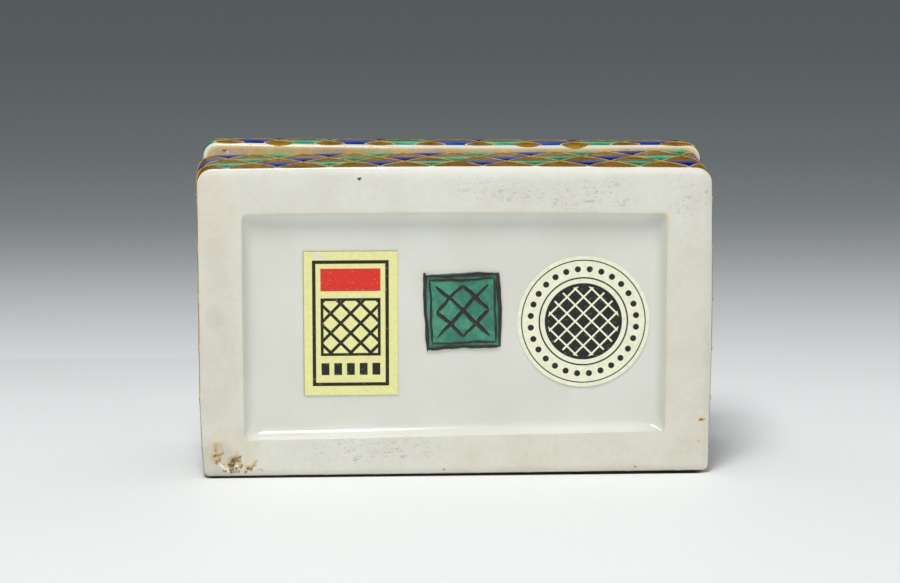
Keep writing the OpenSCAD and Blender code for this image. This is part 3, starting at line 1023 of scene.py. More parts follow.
def mouth_strength(w):
    """Strength of the tan line round the recess: full at its right end and weak along its back."""
    side = w.split(w.place)
    at_right = w.ease(side[0], 29 * MM, 32.5 * MM, 0.35, 0.95)
    return w.product(at_right, w.ease(side[1], 14 * MM, 16.8 * MM, 1.0, 0.35))


def porcelain(name, bare_light, bare_dark, foot):
    """Glazed porcelain, bare or gilt where the mesh says so, with painted shade on the recess walls where
    the mesh says so, and with the foot's marks or the rim's flaw.
    """
    finish = bpy.context.scene.box_finish
    w = new_finish(name, IOR=1.5)
    bare, gilt = attribute(w, "bare"), attribute(w, "gilt")
    fray = w.math("MULTIPLY_ADD", w.noise(w.place, 1500.0, 3.0), 0.6, -0.3)
    bare_mask = w.ease(w.total(bare, fray), 0.36, 0.64)
    cloud = w.noise(w.place, 70.0, 3.0)
    glaze = w.blend(w.ease(cloud, 0.3, 0.7), finish.glaze, finish.glaze_pool)
    # Painted shade: grey on the recess's steep walls, from the attribute 'thin'
    glaze = w.blend(w.product(attribute(w, "thin"), 0.5), glaze, finish.glaze_painted_shade)
    broad, grain = w.noise(w.place, 130.0, 3.0), w.noise(w.place, 900.0, 4.0, 0.6)
    mottle = w.total(w.product(w.ease(broad, 0.35, 0.7), 0.6), w.product(w.ease(grain, 0.35, 0.75), 0.4))
    clay = w.blend(mottle, bare_light, bare_dark)
    tone = w.blend(bare_mask, glaze, clay)
    strength = mouth_strength(w) if foot else 0.75
    seam = w.product(attribute(w, "seam"), w.ease(w.noise(w.place, 150.0, 3.0), 0.25, 0.75), strength)
    tone = w.blend(seam, tone, finish.tan)
    specks = shared(w, "specks", Vector=w.place, Scale=160.0, Size=0.018, Share=0.12)
    tone = w.blend(w.product(specks, 0.7), tone, finish.scar)
    ripple = shared(w, "ripple", Vector=w.place, Scale=160.0)
    relief = w.between(bare_mask, ripple, w.product(grain, 0.6))
    roughness = w.between(bare_mask, w.ease(cloud, 0.2, 0.8, 0.06, 0.12), w.ease(grain, 0.3, 0.7, 0.6, 0.8))
    if foot:
        tone, roughness, relief = foot_marks(w, finish, tone, roughness, relief)
    else:
        tone = rim_flaw(w, finish, tone)
    gilt_mask = w.ease(gilt, 0.4, 0.6)
    rubbed = w.noise(w.place, 420.0, 4.0, 0.6)
    gold = w.blend(w.ease(rubbed, 0.35, 0.7), finish.gold_wash, finish.gold_shade)
    w.feed(w.shader["Base Color"], w.blend(gilt_mask, tone, gold))
    w.feed(w.shader["Roughness"], w.between(gilt_mask, roughness, w.ease(rubbed, 0.3, 0.7, 0.24, 0.38)))
    w.feed(w.shader["Metallic"], w.product(gilt_mask, 0.35))
    w.feed(w.shader["Specular IOR Level"], w.between(gilt_mask, 0.5, 0.05))
    bump(w, relief, 0.03 * MM)
    return w.material


# Marks of the foot, in millimetres: place, half sizes, turn in degrees and strength
# Rubbed bands, broad grey and tan tints, and a painted highlight along the front edge
RUBBED_BANDS = (
    (-13.5, 20.6, 15.0, 2.6, -3, 1.0), (7.0, -20.8, 9.5, 2.6, 0, 1.0), (20.5, -19.6, 10.0, 3.4, 0, 1.0),
    (35.6, -19.5, 3.2, 4.2, 0, 1.0))
GREY_TINTS = (
    (-37.4, 3.0, 4.6, 20.0, 0, 0.05), (-37.5, -1.0, 2.0, 2.6, 0, 0.15), (-37.6, 22.5, 4.4, 4.6, 0, 0.24))
TAN_TINTS = (
    (37.5, 6.0, 6.0, 26.0, 0, 0.1), (20.0, 21.5, 30.0, 5.0, 0, 0.08), (-37.4, 8.0, 5.0, 24.0, 0, 0.08),
    (-38.0, -17.0, 5.0, 9.0, 0, 0.15), (-35.5, 20.0, 6.0, 5.0, 0, 0.14))
FRONT_EDGE_HIGHLIGHT = ((10.0, -24.6, 42.0, 2.8, 0, 0.4),)
# Kiln scars of the back left corner
SCAR_STAINS = (
    (-37.55, 19.9, 0.6, 1.0, 5, 0.7), (-36.75, 19.85, 0.45, 0.9, -5, 0.5),
    (-37.5, 21.45, 1.05, 1.1, 0, 0.75), (-36.95, 21.2, 0.5, 0.75, 20, 0.8),
    (-34.95, 22.1, 0.95, 1.4, 38, 0.95), (-34.8, 23.1, 1.2, 0.9, 0, 0.85),
    (-34.32, 20.95, 0.36, 0.6, 8, 0.5), (-33.85, 22.1, 0.4, 0.9, 0, 0.7),
    (-32.4, 23.25, 0.75, 0.65, 40, 0.9), (-31.5, 22.55, 0.42, 0.8, 40, 0.85),
    (-32.95, 23.78, 0.46, 0.4, 0, 0.9), (-30.6, 23.55, 0.9, 0.24, 5, 0.6),
    (-36.1, 23.55, 0.6, 0.6, 0, 0.7))
SCAR_GLASS = ((-34.42, 21.85, 0.5, 0.65, 35, 0.8),)
SCAR_CHIPS = (
    (-36.5, 22.97, 0.2, 1.25, -44, 0.9), (-36.0, 23.35, 0.42, 0.46, 0, 0.95),
    (-35.75, 23.7, 0.38, 0.3, 0, 0.9), (-34.32, 22.92, 0.52, 0.36, -15, 0.95),
    (-34.87, 23.6, 0.28, 0.28, 0, 0.85), (-32.48, 23.84, 0.24, 0.2, 0, 0.9))
SCAR_BROWNS = (
    (-37.44, 21.05, 0.42, 0.36, 0, 0.95), (-37.5, 22.1, 0.42, 0.3, 30, 0.9),
    (-36.94, 21.25, 0.3, 0.42, 20, 0.9), (-36.6, 20.75, 0.26, 0.26, 0, 0.95),
    (-37.62, 20.2, 0.22, 0.5, 10, 0.6), (-33.95, 21.8, 0.28, 0.65, 10, 0.9),
    (-35.55, 22.75, 0.32, 0.7, 15, 0.9), (-33.61, 22.93, 0.34, 0.36, 0, 0.95),
    (-34.35, 23.68, 0.75, 0.3, -10, 0.85), (-36.26, 23.66, 0.32, 0.34, 0, 0.9),
    (-35.2, 23.95, 0.34, 0.24, 0, 0.9), (-36.28, 22.57, 0.2, 0.22, 0, 0.7),
    (-32.4, 23.3, 0.58, 0.46, 40, 0.95), (-31.9, 22.95, 0.3, 0.62, 35, 0.9),
    (-32.95, 23.78, 0.24, 0.24, 0, 0.8))
SCAR_CRUSTS = (
    (-37.7, 21.25, 0.32, 0.3, 0, 0.95), (-34.85, 22.05, 0.5, 0.85, 38, 0.95),
    (-35.1, 22.75, 0.55, 0.5, 0, 0.95), (-35.2, 23.55, 0.5, 0.36, 0, 0.85),
    (-34.3, 23.1, 0.36, 0.2, -20, 0.95), (-36.97, 21.85, 0.24, 0.24, 0, 0.85),
    (-32.5, 23.2, 0.24, 0.3, 0, 0.6))
# Small brown dots: one crusted, one long, and round ones with their place and strength
CRUST_DOT = (-14.73, -22.52, 0.32, 0.36, 0, 1.0)
LONG_DOT_RING, LONG_DOT_CORE = (39.0, 16.1, 0.62, 0.4, 0, 0.85), (38.9, 16.1, 0.3, 0.2, 0, 1.0)
FOOT_DOTS = (
    (39.2, -20.1, 0.3), (39.2, -18.2, 0.3), (28.5, 23.6, 0.8), (38.6, 19.6, 0.4), (-1.75, 23.7, 0.6))


def foot_marks(w, finish, tone, roughness, relief):
    """Rubbed grey marks along the foot's two long sides, tints, a painted highlight along the front edge,
    kiln scars at a back corner and dots.
    """
    on_foot = w.ease(w.split(w.place)[2], 0.25 * MM, 0.5 * MM, 1.0, 0.0)
    uneven = ragged(w, w.place, 1.3 * MM)

    def patch(x, y, half_x, half_y, turn, share):
        mask = shared(w, "patch", Vector=uneven, Place=(x * MM, y * MM, 0), Turn=-math.radians(turn),
                      Size=(half_x * MM, half_y * MM, 1))
        return w.product(mask, share)

    def patches(places):
        mask = patch(*places[0])
        for place in places[1:]:
            mask = w.math("MAXIMUM", mask, patch(*place))
        return w.product(mask, on_foot)

    # Rubbed grey marks, in four loose bands, broad tints, and a painted highlight along the front edge
    marks = shared(w, "marks", Vector=w.vector("MULTIPLY", w.place, (0.8, 1.6, 1.0)), Scale=300.0,
                   Width=0.03, Cover=0.3)
    hairs = shared(w, "marks", Vector=w.vector("MULTIPLY", w.place, (1.0, 2.6, 1.0)), Scale=460.0,
                   Width=0.035, Cover=0.3)
    bands = patches(RUBBED_BANDS)
    tone = w.blend(w.product(w.math("MAXIMUM", marks, hairs), bands, 0.7), tone, finish.scuff)
    tone = w.blend(patches(GREY_TINTS), tone, finish.scuff)
    tone = w.blend(patches(TAN_TINTS), tone, finish.stain)
    # Painted highlight: white along the foot's front edge
    tone = w.blend(patches(FRONT_EDGE_HIGHLIGHT), tone, finish.chip)
    # Scars: tan stains, grey glass, white chips, and brown and nearly black crusts
    flecks = w.noise(w.place, 2700.0, 4.0, 0.7)
    chips, browns, crusts = patches(SCAR_CHIPS), patches(SCAR_BROWNS), patches(SCAR_CRUSTS)
    stains = patches(SCAR_STAINS)
    tone = w.blend(w.product(stains, w.ease(flecks, 0.38, 0.52, 0.3, 1.0)), tone, finish.stain)
    tone = w.blend(patches(SCAR_GLASS), tone, finish.scuff)
    tone = w.blend(w.product(chips, w.ease(flecks, 0.35, 0.5, 0.7, 1.0)), tone, finish.chip)
    tone = w.blend(w.product(browns, w.ease(flecks, 0.42, 0.52, 0.2, 1.0)), tone, finish.scar)
    tone = w.blend(w.product(crusts, w.ease(flecks, 0.58, 0.46, 0.3, 1.0)), tone, finish.crust)
    # Small brown dots with tan rings
    tone = w.blend(patches((CRUST_DOT,)), tone, finish.crust)
    dot_rings = [(x, y, 0.32, 0.34, 0, 0.85 * share) for x, y, share in FOOT_DOTS]
    dot_cores = [(x, y, 0.17, 0.18, 0, share) for x, y, share in FOOT_DOTS]
    rings, cores = patches((LONG_DOT_RING, *dot_rings)), patches((LONG_DOT_CORE, *dot_cores))
    tone = w.blend(rings, tone, finish.stain)
    tone = w.blend(cores, tone, finish.scar)
    return tone, w.between(crusts, roughness, 0.35), w.math("MULTIPLY_ADD", crusts, 2.5, relief)


def rim_flaw(w, finish, tone):
    """A small brown flaw with a white chip, at the left end of the lid's rim."""
    uneven = ragged(w, w.place, 0.5 * MM)
    for place, half_size, shade in (((-36.14, -25.15), (0.55, 0.36), finish.stain),
                                    ((-36.17, -25.02), (0.42, 0.22), finish.scar),
                                    ((-35.65, -24.78), (0.22, 0.2), finish.chip)):
        mask = shared(w, "patch", Vector=uneven, Place=(place[0] * MM, place[1] * MM, LID_LOW.z),
                      Size=(half_size[0] * MM, half_size[1] * MM, 1 * MM), Turn=0.0)
        tone = w.blend(w.product(mask, 0.85), tone, shade)
    return tone


def enamel(name, thin, deep):
    """Glossy fired enamel, deep at the tip of a scale and thin at its wide end."""
    w = new_finish(name, IOR=1.5)
    w.feed(w.shader["Specular IOR Level"], 0.004)
    flow = w.math("SUBTRACT", w.noise(w.place, 420.0, 3.0), 0.5)
    flow = w.math("MULTIPLY_ADD", flow, 0.7, attribute(w, "pool"))
    tinted = w.math("MULTIPLY_ADD", attribute(w, "tint"), 0.3, w.math("SUBTRACT", flow, 0.15))
    w.feed(w.shader["Base Color"], w.blend(w.ease(tinted, 0.35, 1.1), deep, thin))
    ripple = shared(w, "ripple", Vector=w.place, Scale=420.0)
    w.feed(w.shader["Roughness"], w.ease(ripple, 0.3, 0.9, 0.2, 0.36))
    bump(w, ripple, 0.006 * MM)
    return w.material


def gilding(name):
    """Raised lines of satin fired gold."""
    finish = bpy.context.scene.box_finish
    w = new_finish(name, Metallic=0.35)
    w.feed(w.shader["Specular IOR Level"], 0.15)
    patches = w.noise(w.place, 380.0, 4.0, 0.6)
    w.feed(w.shader["Base Color"], w.blend(w.ease(patches, 0.4, 0.75), finish.gold, finish.gold_shade))
    w.feed(w.shader["Roughness"], w.ease(patches, 0.3, 0.75, 0.28, 0.42))
    bump(w, shared(w, "ripple", Vector=w.place, Scale=900.0), 0.012 * MM)
    return w.material


def seal_glass(name):
    """Mottled green enamel of the seal."""
    finish = bpy.context.scene.box_finish
    w = new_finish(name, IOR=1.5)
    broad, fine = w.noise(w.place, 330.0, 3.0), w.noise(w.place, 1300.0, 3.0)
    cloud = w.total(w.product(broad, 0.7), w.product(fine, 0.3))
    w.feed(w.shader["Base Color"], w.blend(w.ease(cloud, 0.36, 0.64), finish.seal_green, finish.seal_deep))
    ripple = shared(w, "ripple", Vector=w.place, Scale=260.0)
    w.feed(w.shader["Roughness"], w.ease(ripple, 0.3, 0.9, 0.1, 0.22))
    bump(w, ripple, 0.02 * MM)
    return w.material


def brushwork(name):
    """Dark brushed enamel lines, thinner and browner in places."""
    finish = bpy.context.scene.box_finish
    w = new_finish(name, Roughness=0.3)
    w.feed(w.shader["Base Color"], w.blend(w.ease(w.noise(w.place, 700.0, 3.0), 0.4, 0.7), finish.brush,
                                           finish.brush_thin))
    return w.material


def paper(name, tone, low, high, printing):
    """Matt paper with its printing, laid out from the label's middle."""
    finish = bpy.context.scene.box_finish
    w = new_finish(name, Roughness=0.62)
    w.feed(w.shader["Specular IOR Level"], 0.35)
    middle = (low + high) / 2
    place = w.vector("SUBTRACT", w.place, (middle.x, middle.y, 0))
    place = w.vector("MULTIPLY", place, (1, 1, 0))
    fibre = w.noise(w.place, 1400.0, 4.0, 0.6)
    sheet = w.blend(w.ease(fibre, 0.3, 0.75, 0.0, 0.35), tone, finish.paper_shade)
    black, red = printing(w, place)
    worn = w.ease(w.noise(w.place, 2600.0, 3.0, 0.6), 0.28, 0.4, 0.8, 1.0)
    if red is not None:
        sheet = w.blend(w.product(red, worn), sheet, finish.red_ink)
        torn = shared(w, "patch", Vector=ragged(w, place, 0.5 * MM), Place=(-5.0 * MM, -10.7 * MM, 0),
                      Size=(1.1 * MM, 0.36 * MM, 1), Turn=math.radians(-12))
        sheet = w.blend(torn, sheet, finish.scrape)
    # The ink mask also carries the rectangular label's painted edge shadow
    w.feed(w.shader["Base Color"], w.blend(w.product(black, worn), sheet, finish.ink))
    bump(w, fibre, 0.01 * MM)
    return w.material


def ruled_print(w, place):
    """Printing of the rectangular label: a border, a red band, a lozenge lattice, a row of oblongs, and a
    painted shadow along its left and top edges.
    """
    def box(x, y, half_x, half_y):
        return shared(w, "box", Vector=place, Middle=(x * MM, y * MM, 0),
                      Half_size=(half_x * MM, half_y * MM, 1))

    border = w.math("SUBTRACT", box(0, 0, 6.0, 10.0), box(0, 0, 5.45, 9.45))
    red = box(0, -6.9, 4.7, 1.8)
    field = box(0, 0.6, 4.7, 4.6)
    lattice = w.product(field, shared(w, "lattice", Vector=place, Pitch=3.13 * MM, Width=0.34 * MM))
    edges = w.math("SUBTRACT", field, box(0, 0.6, 4.25, 4.15))
    black = w.math("MAXIMUM", border, w.math("MAXIMUM", lattice, edges))
    # Painted shadow: a thin dark line along the label's left and top edges, where it lifts
    rubbed = w.math("SUBTRACT", 1.0, box(0.07, 0.06, 7.36, 11.45))
    black = w.math("MAXIMUM", black, w.product(rubbed, 0.6))
    for column in (-4, -2, 0, 2, 4):
        black = w.math("MAXIMUM", black, box(column, 7.3, 0.62, 0.95))
    return black, red


def ringed_print(w, place):
    """Printing of the round label: thin rings, a ring of dots and a dark disc with a lozenge lattice."""
    def ring(radius, half_width):
        return shared(w, "ring", Vector=place, Radius=radius * MM, Half_width=half_width * MM)

    spots, dot_radius = 28, 8.35 * MM
    flat = w.split(place)
    turn = w.product(w.math("ARCTAN2", flat[1], flat[0]), spots / (2 * math.pi))
    side = w.product(w.math("SUBTRACT", w.math("FRACT", turn), 0.5), 2 * math.pi * dot_radius / spots)
    off = w.math("SUBTRACT", w.vector("LENGTH", place), dot_radius)
    reach = w.math("SQRT", w.total(w.product(side, side), w.product(off, off)))
    dots = w.ease(reach, 0.45 * MM, 0.52 * MM, 1.0, 0.0)
    disc = ring(0, 6.1)
    lattice = shared(w, "lattice", Vector=place, Pitch=2.6 * MM, Width=0.2 * MM)
    disc = w.product(disc, w.math("SUBTRACT", 1.0, w.product(lattice, ring(0, 5.6))))
    rings = w.math("MAXIMUM", ring(9.75, 0.09), ring(6.95, 0.12))
    return w.math("MAXIMUM", rings, w.math("MAXIMUM", dots, disc)), None


def finish_of(name, make, *values):
    """A finish that is made once and shared by the pieces that use it."""
    return bpy.data.materials.get(name) or make(name, *values)


# Pieces

class BOX_OT_tray(bpy.types.Operator):
    """Make the glazed tray with its bare foot ring, recess, ledge and lip"""
    bl_idname = "incense_box.tray"
    bl_label = "Tray"

    def execute(self, context):
        scene = context.scene
        shape, finish = scene.box_shape, scene.box_finish
        material = finish_of("tray_porcelain", porcelain, finish.bare, finish.bare_shade, True)
        mesh = loft("tray_body", tray_rings(shape, scene.box_pattern), material)
        settle(shape, "tray", mesh)
        place_piece("tray_body", mesh, "tray", "porcelain", "tray")
        return {"FINISHED"}


class BOX_OT_lid(bpy.types.Operator):
    """Make the glazed lid with its bare rim"""
    bl_idname = "incense_box.lid"
    bl_label = "Lid"

    def execute(self, context):
        scene = context.scene
        shape, finish = scene.box_shape, scene.box_finish
        material = finish_of("lid_glaze", porcelain, finish.rim, finish.rim_shade, False)
        mesh = loft("lid_body", lid_rings(shape, scene.box_pattern), material)
        settle(shape, "lid", mesh)
        place_piece("lid_body", mesh, "lid", "lid_porcelain", "lid")
        return {"FINISHED"}


def top_field(shape, pattern):
    """Half the length and half the depth of the pattern on the lid's top."""
    inset = shape.lid_top_edge + shape.lid_draft + pattern.top_margin
    return LID_HIGH.x - inset, LID_HIGH.y - inset


def wall_plan(high, front_corner, back_corner):
    """Outline of a wall, as a run of places."""
    return [(x, y, 0) for x, y in outline(high.x, high.y, 0, front_corner, back_corner)]


def pattern_fields(shape, pattern):
    """The three fields of the pattern: the tray's wall, the lid's wall and the lid's top."""
    row = pattern.row_height
    around = wall_plan(TRAY_HIGH, shape.front_corner, shape.back_corner)
    ledge = shape.ledge_edge
    up = foot_rounding(shape, -GOLD_START, 6) + arc(-ledge, LID_LOW.z - ledge, ledge, 0, 20, 3)
    up_length = path_length(up, False)
    lid_around = wall_plan(LID_HIGH, shape.lid_corner, shape.back_corner)
    lid_up = lid_section(shape, pattern)
    lid_first = math.floor(pattern.lid_start)
    lid_rows = math.ceil(pattern.lid_end) - lid_first
    tray_period = path_length(around, True) / pattern.around
    lid_period = path_length(lid_around, True) / pattern.around
    lid_low, lid_high = pattern.lid_start * row, pattern.lid_end * row
    half_x, half_y = top_field(shape, pattern)
    spare = 5 * MM
    top_plan = [(-half_x - spare, -half_y, 0), (half_x + spare, -half_y, 0)]
    return [
        {"name": "tray_wall", "body": "tray", "plan": around, "closed": True, "section": up,
         "columns": pattern.around, "period": tray_period, "row": up_length / pattern.tray_rows,
         "start": pattern.phase, "low": 0.0, "high": up_length, "first": 0,
         "rows": pattern.tray_rows, "left": -1.0, "right": 1.0, "gap": pattern.tip_gap},
        {"name": "lid_wall", "body": "lid", "plan": lid_around, "closed": True, "section": lid_up,
         "columns": pattern.around, "period": lid_period, "row": row, "start": pattern.phase, "low": lid_low,
         "high": lid_high, "first": lid_first, "rows": lid_rows, "left": -1.0, "right": 1.0, "gap": 0.0},
        {"name": "lid_top", "body": "lid", "plan": top_plan, "closed": False,
         "section": [(0, LID_HIGH.z), (-2 * half_y, LID_HIGH.z)], "columns": pattern.top_columns,
         "period": 2 * half_x / pattern.top_columns, "row": 2 * half_y / pattern.top_rows, "start": spare,
         "low": 0.0, "high": 2 * half_y, "first": 0, "rows": pattern.top_rows, "left": spare,
         "right": spare + 2 * half_x, "gap": 0.0},
    ]


def pattern_values(field, pattern, plan, section, material):
    """The inputs that all trees of the pattern share."""
    return {"Plan": plan, "Section": section, "Period": field["period"], "Row height": field["row"],
            "Start": field["start"], "Low": field["low"], "High": field["high"],
            "Section start": field["low"], "Left": field["left"], "Right": field["right"],
            "Bulge": pattern.bulge, "Finish": material}


def wrap_guides(field):
    """The plan and section curves of one field."""
    return (guide(field["name"] + "_plan", (field["plan"], None, field["closed"])),
            guide(field["name"] + "_section", ([(x, 0, z) for x, z in field["section"]], None, False)))


def drop(*curves):
    """Removes guide curves."""
    for curve in curves:
        data = curve.data
        bpy.data.objects.remove(curve)
        bpy.data.curves.remove(data)


class BOX_OT_scales(bpy.types.Operator):
    """Make the green and blue enamel scales of the walls and the lid's top"""
    bl_idname = "incense_box.scales"
    bl_label = "Scales"

    def execute(self, context):
        scene = context.scene
        shape, pattern, finish = scene.box_shape, scene.box_pattern, scene.box_finish
        tree = scales_tree(wrap_group())
        green = finish_of("green_glass", enamel, finish.green, finish.green_deep)
        blue = finish_of("blue_glass", enamel, finish.blue, finish.blue_deep)
        for field in pattern_fields(shape, pattern):
            plan, section = wrap_guides(field)
            extra = 0 if field["closed"] else field["rows"]
            spare = 2 * (extra // 4 + extra % 4 // 2)
            for label, slot, odd, material in (("green", "green_enamel", 0, green),
                                               ("blue", "blue_enamel", 1, blue)):
                values = pattern_values(field, pattern, plan, section, material)
                values.update({"Low": field["low"] + field["gap"],
                               "Columns": (field["columns"] + extra + 1) // 2,
                               "Start": field["start"] + (odd - spare) * field["period"],
                               "First row": field["first"], "Rows": field["rows"], "Seed": TINT_SEED,
                               "Thickness": pattern.enamel_thickness, "Sunk": pattern.enamel_root})
                scales = grow(field["name"] + "_" + label, tree, values)
                settle(shape, field["body"], scales.data)
                join_body(scales, field["body"], slot)
            drop(plan, section)
        return {"FINISHED"}


class BOX_OT_gold_lines(bpy.types.Operator):
    """Make the raised gold lines between the scales and round the lid"""
    bl_idname = "incense_box.gold_lines"
    bl_label = "Gold lines"

    def execute(self, context):
        shape, pattern = context.scene.box_shape, context.scene.box_pattern
        gold = finish_of("fired_gold", gilding)
        tree = lines_tree(wrap_group())
        for field in pattern_fields(shape, pattern):
            plan, section = wrap_guides(field)
            extra = 0 if field["closed"] else field["rows"] // 2 + 1
            values = pattern_values(field, pattern, plan, section, gold)
            values.update({"Low": field["low"] + field["gap"] * 1.5,
                           "Columns": field["columns"] + 2 * extra,
                           "Start": field["start"] - extra * field["period"],
                           "Thickness": pattern.line_height, "Width": pattern.line_width})
            lines = grow(field["name"] + "_lines", tree, values)
            settle(shape, field["body"], lines.data)
            join_body(lines, field["body"], "gold")
            drop(plan, section)
        half_x, half_y = top_field(shape, pattern)
        points = [(x, y, LID_HIGH.z) for x, y in outline(half_x, half_y, 0, 0.5 * MM, 0.5 * MM)]
        path = guide("border_path", (points, [pattern.border_width] * len(points), True))
        border = grow("lid_top_border", strokes_tree(), {"Path": path, "Level": LID_HIGH.z, "Flat": 0.8,
                                                         "Finish": gold})
        settle(shape, "lid", border.data)
        join_body(border, "lid", "gold")
        drop(path)
        return {"FINISHED"}


class BOX_OT_labels(bpy.types.Operator):
    """Make the two printed paper labels in the recess"""
    bl_idname = "incense_box.labels"
    bl_label = "Labels"

    def execute(self, context):
        marks, finish = context.scene.box_marks, context.scene.box_finish
        tree = sheet_tree()
        straight, disc = 0.0, 1.0
        labels = (("rectangular_label", "yellow_paper", LABEL_LOW, LABEL_HIGH, straight, finish.yellow_paper,
                   ruled_print),
                  ("round_label", "cream_paper", ROUND_LOW, ROUND_HIGH, disc, finish.cream_paper,
                   ringed_print))
        for name, slot, low, high, roundness, tone, printing in labels:
            material = finish_of(name + "_print", paper, tone, low, high, printing)
            middle = (low + high) / 2
            sheet = grow(name + "_sheet", tree, {
                "Middle": (middle.x, middle.y, high.z), "Width": high.x - low.x, "Depth": high.y - low.y,
                "Round": roundness, "Turn": 0.0, "Thickness": high.z - low.z, "Dome": 0.0,
                "Wave": marks.paper_wave, "Ragged": 0.0, "Finish": material})
            join_body(sheet, "tray", slot, name)
        return {"FINISHED"}


def brush_run(start, end, width, bend, seed):
    """One brushed stroke between two places: an uneven line, swelling and thinning, in millimetres."""
    steps = 14
    along = Vector((end[0] - start[0], end[1] - start[1]))
    aside = Vector((-along.y, along.x)).normalized()
    points, widths = [], []
    for step in range(steps + 1):
        share = step / steps
        sway = bend * math.sin(math.pi * share)
        sway += 0.07 * math.sin(9 * share + seed)
        sway += 0.04 * math.sin(23 * share - seed)
        x = start[0] + along.x * share + aside.x * sway
        y = start[1] + along.y * share + aside.y * sway
        points.append((x, y))
        taper = min(share * 9 + 0.45, (1 - share) * 6 + 0.3, 1)
        swell = 1 + 0.16 * math.sin(6 * share + 2 * seed) + 0.08 * math.sin(17 * share + seed)
        widths.append(width * taper * swell)
    return points, widths


def seal_strokes(side):
    """Strokes of the seal, from its middle: two squares, one in the other, and a diagonal lattice."""
    outer, inner, net = side * 0.48, side * 0.422, side * 0.34
    strokes = [((-outer - 0.1, outer + 0.55), (-outer + 0.05, -outer - 0.4), 0.54, -0.05, 1.0),
               ((-outer, outer), (outer + 0.1, outer + 0.05), 0.5, -0.06, 2.0),
               ((outer, outer + 0.15), (outer - 0.05, -outer), 0.56, 0.05, 3.0),
               ((-outer, -outer), (outer, -outer - 0.05), 0.5, 0.08, 4.0),
               ((-inner, inner + 0.3), (-inner + 0.05, -inner), 0.34, 0.06, 5.0),
               ((-inner, inner), (inner, inner), 0.36, -0.08, 6.0),
               ((inner, inner), (inner - 0.05, -inner), 0.34, 0.05, 7.0),
               ((-inner, -inner), (inner, -inner), 0.33, 0.06, 8.0)]
    for number, offset in enumerate((-net, 0, net)):
        low, high = max(-net, offset - net), min(net, offset + net)
        strokes.append(((low, offset - low), (high, offset - high), 0.58, 0.08, 10.0 + number))
        strokes.append(((high, high - offset), (low, low - offset), 0.52, -0.06, 20.0 + number))
    return [brush_run(*stroke) for stroke in strokes]


class BOX_OT_seal(bpy.types.Operator):
    """Make the enamel seal in the recess and its brushed lines"""
    bl_idname = "incense_box.seal"
    bl_label = "Seal"

    def execute(self, context):
        marks = context.scene.box_marks
        middle = (SEAL_LOW + SEAL_HIGH) / 2
        thick, side = SEAL_HIGH.z - SEAL_LOW.z, SEAL_HIGH.x - SEAL_LOW.x
        edge_share = 0.4
        patch = grow("seal_patch", sheet_tree(), {
            "Middle": (middle.x, middle.y, SEAL_HIGH.z), "Width": side, "Depth": side, "Round": 0.1,
            "Turn": -marks.seal_turn, "Thickness": thick * edge_share, "Dome": thick * (1 - edge_share),
            "Wave": 0.0, "Ragged": marks.seal_ragged, "Finish": finish_of("seal_glass", seal_glass)})
        join_body(patch, "tray", "green_enamel", "enamel_seal")
        turn = Matrix.Rotation(marks.seal_turn, 2)
        runs = []
        for points, widths in seal_strokes(side / MM):
            flat = [turn @ Vector(point) * MM for point in points]
            runs.append(([(middle.x + place.x, middle.y - place.y, SEAL_LOW.z) for place in flat],
                         [width * MM for width in widths], False))
        path = guide("seal_path", *runs)
        lines = grow("seal_lines", strokes_tree(), {"Path": path, "Level": SEAL_LOW.z, "Flat": 0.4,
                                                    "Finish": finish_of("brushed_enamel", brushwork)})
        join_body(lines, "tray", "green_enamel")
        drop(path)
        return {"FINISHED"}


class BOX_OT_stage(bpy.types.Operator):
    """Make the camera, the soft lights and the pale table"""
    bl_idname = "incense_box.stage"
    bl_label = "Stage"

    def execute(self, context):
        scene = context.scene
        studio = scene.box_studio
        scene.view_settings.view_transform = "Standard"
        set_camera(scene, studio)
        set_lights(studio)
        set_world(scene, studio)
        set_sheets(studio)
        return {"FINISHED"}


def set_camera(scene, studio):
    """The camera, its upper side towards the front wall."""
    lens = bpy.data.cameras.new("camera")
    lens.lens, lens.sensor_width, lens.sensor_fit = studio.lens, 36.0, "HORIZONTAL"
    lens.clip_start, lens.clip_end = 0.01, 10.0
    camera = bpy.data.objects.new("camera", lens)
    scene.collection.objects.link(camera)
    place, aim = Vector(studio.camera_place), Vector(studio.camera_aim)
    ahead = (aim - place).normalized()
    right = ahead.cross(Vector((0, -1, 0))).normalized()
    above = right.cross(ahead)
    turn = Matrix((right, above, -ahead)).transposed()
    camera.matrix_world = Matrix.Translation(place) @ turn.to_4x4()
    scene.camera = camera


def set_lights(studio):
    """The soft lights, with the key light in two: one for the shadow, and a broad one that glazes mirror."""
    key = soft_light("key_light", studio.key_place, studio.key, width=0.15, height=0.25)
    key.visible_glossy = False
    glow = soft_light("key_glow", studio.glow_place, studio.key, width=0.26, height=0.26)
    glow.visible_diffuse = False
    soft_light("top_light", studio.top_place, studio.top, width=0.6, height=0.6)
    soft_light("strip_light", studio.strip_place, studio.strip, width=0.22, height=0.03)


def set_world(scene, studio):
    """The even light from all round."""
    world = bpy.data.worlds.new("studio_air")
    world.use_nodes = True
    sky = world.node_tree.nodes["Background"]
    sky.inputs["Color"].default_value = (*studio.world, 1)
    scene.world = world


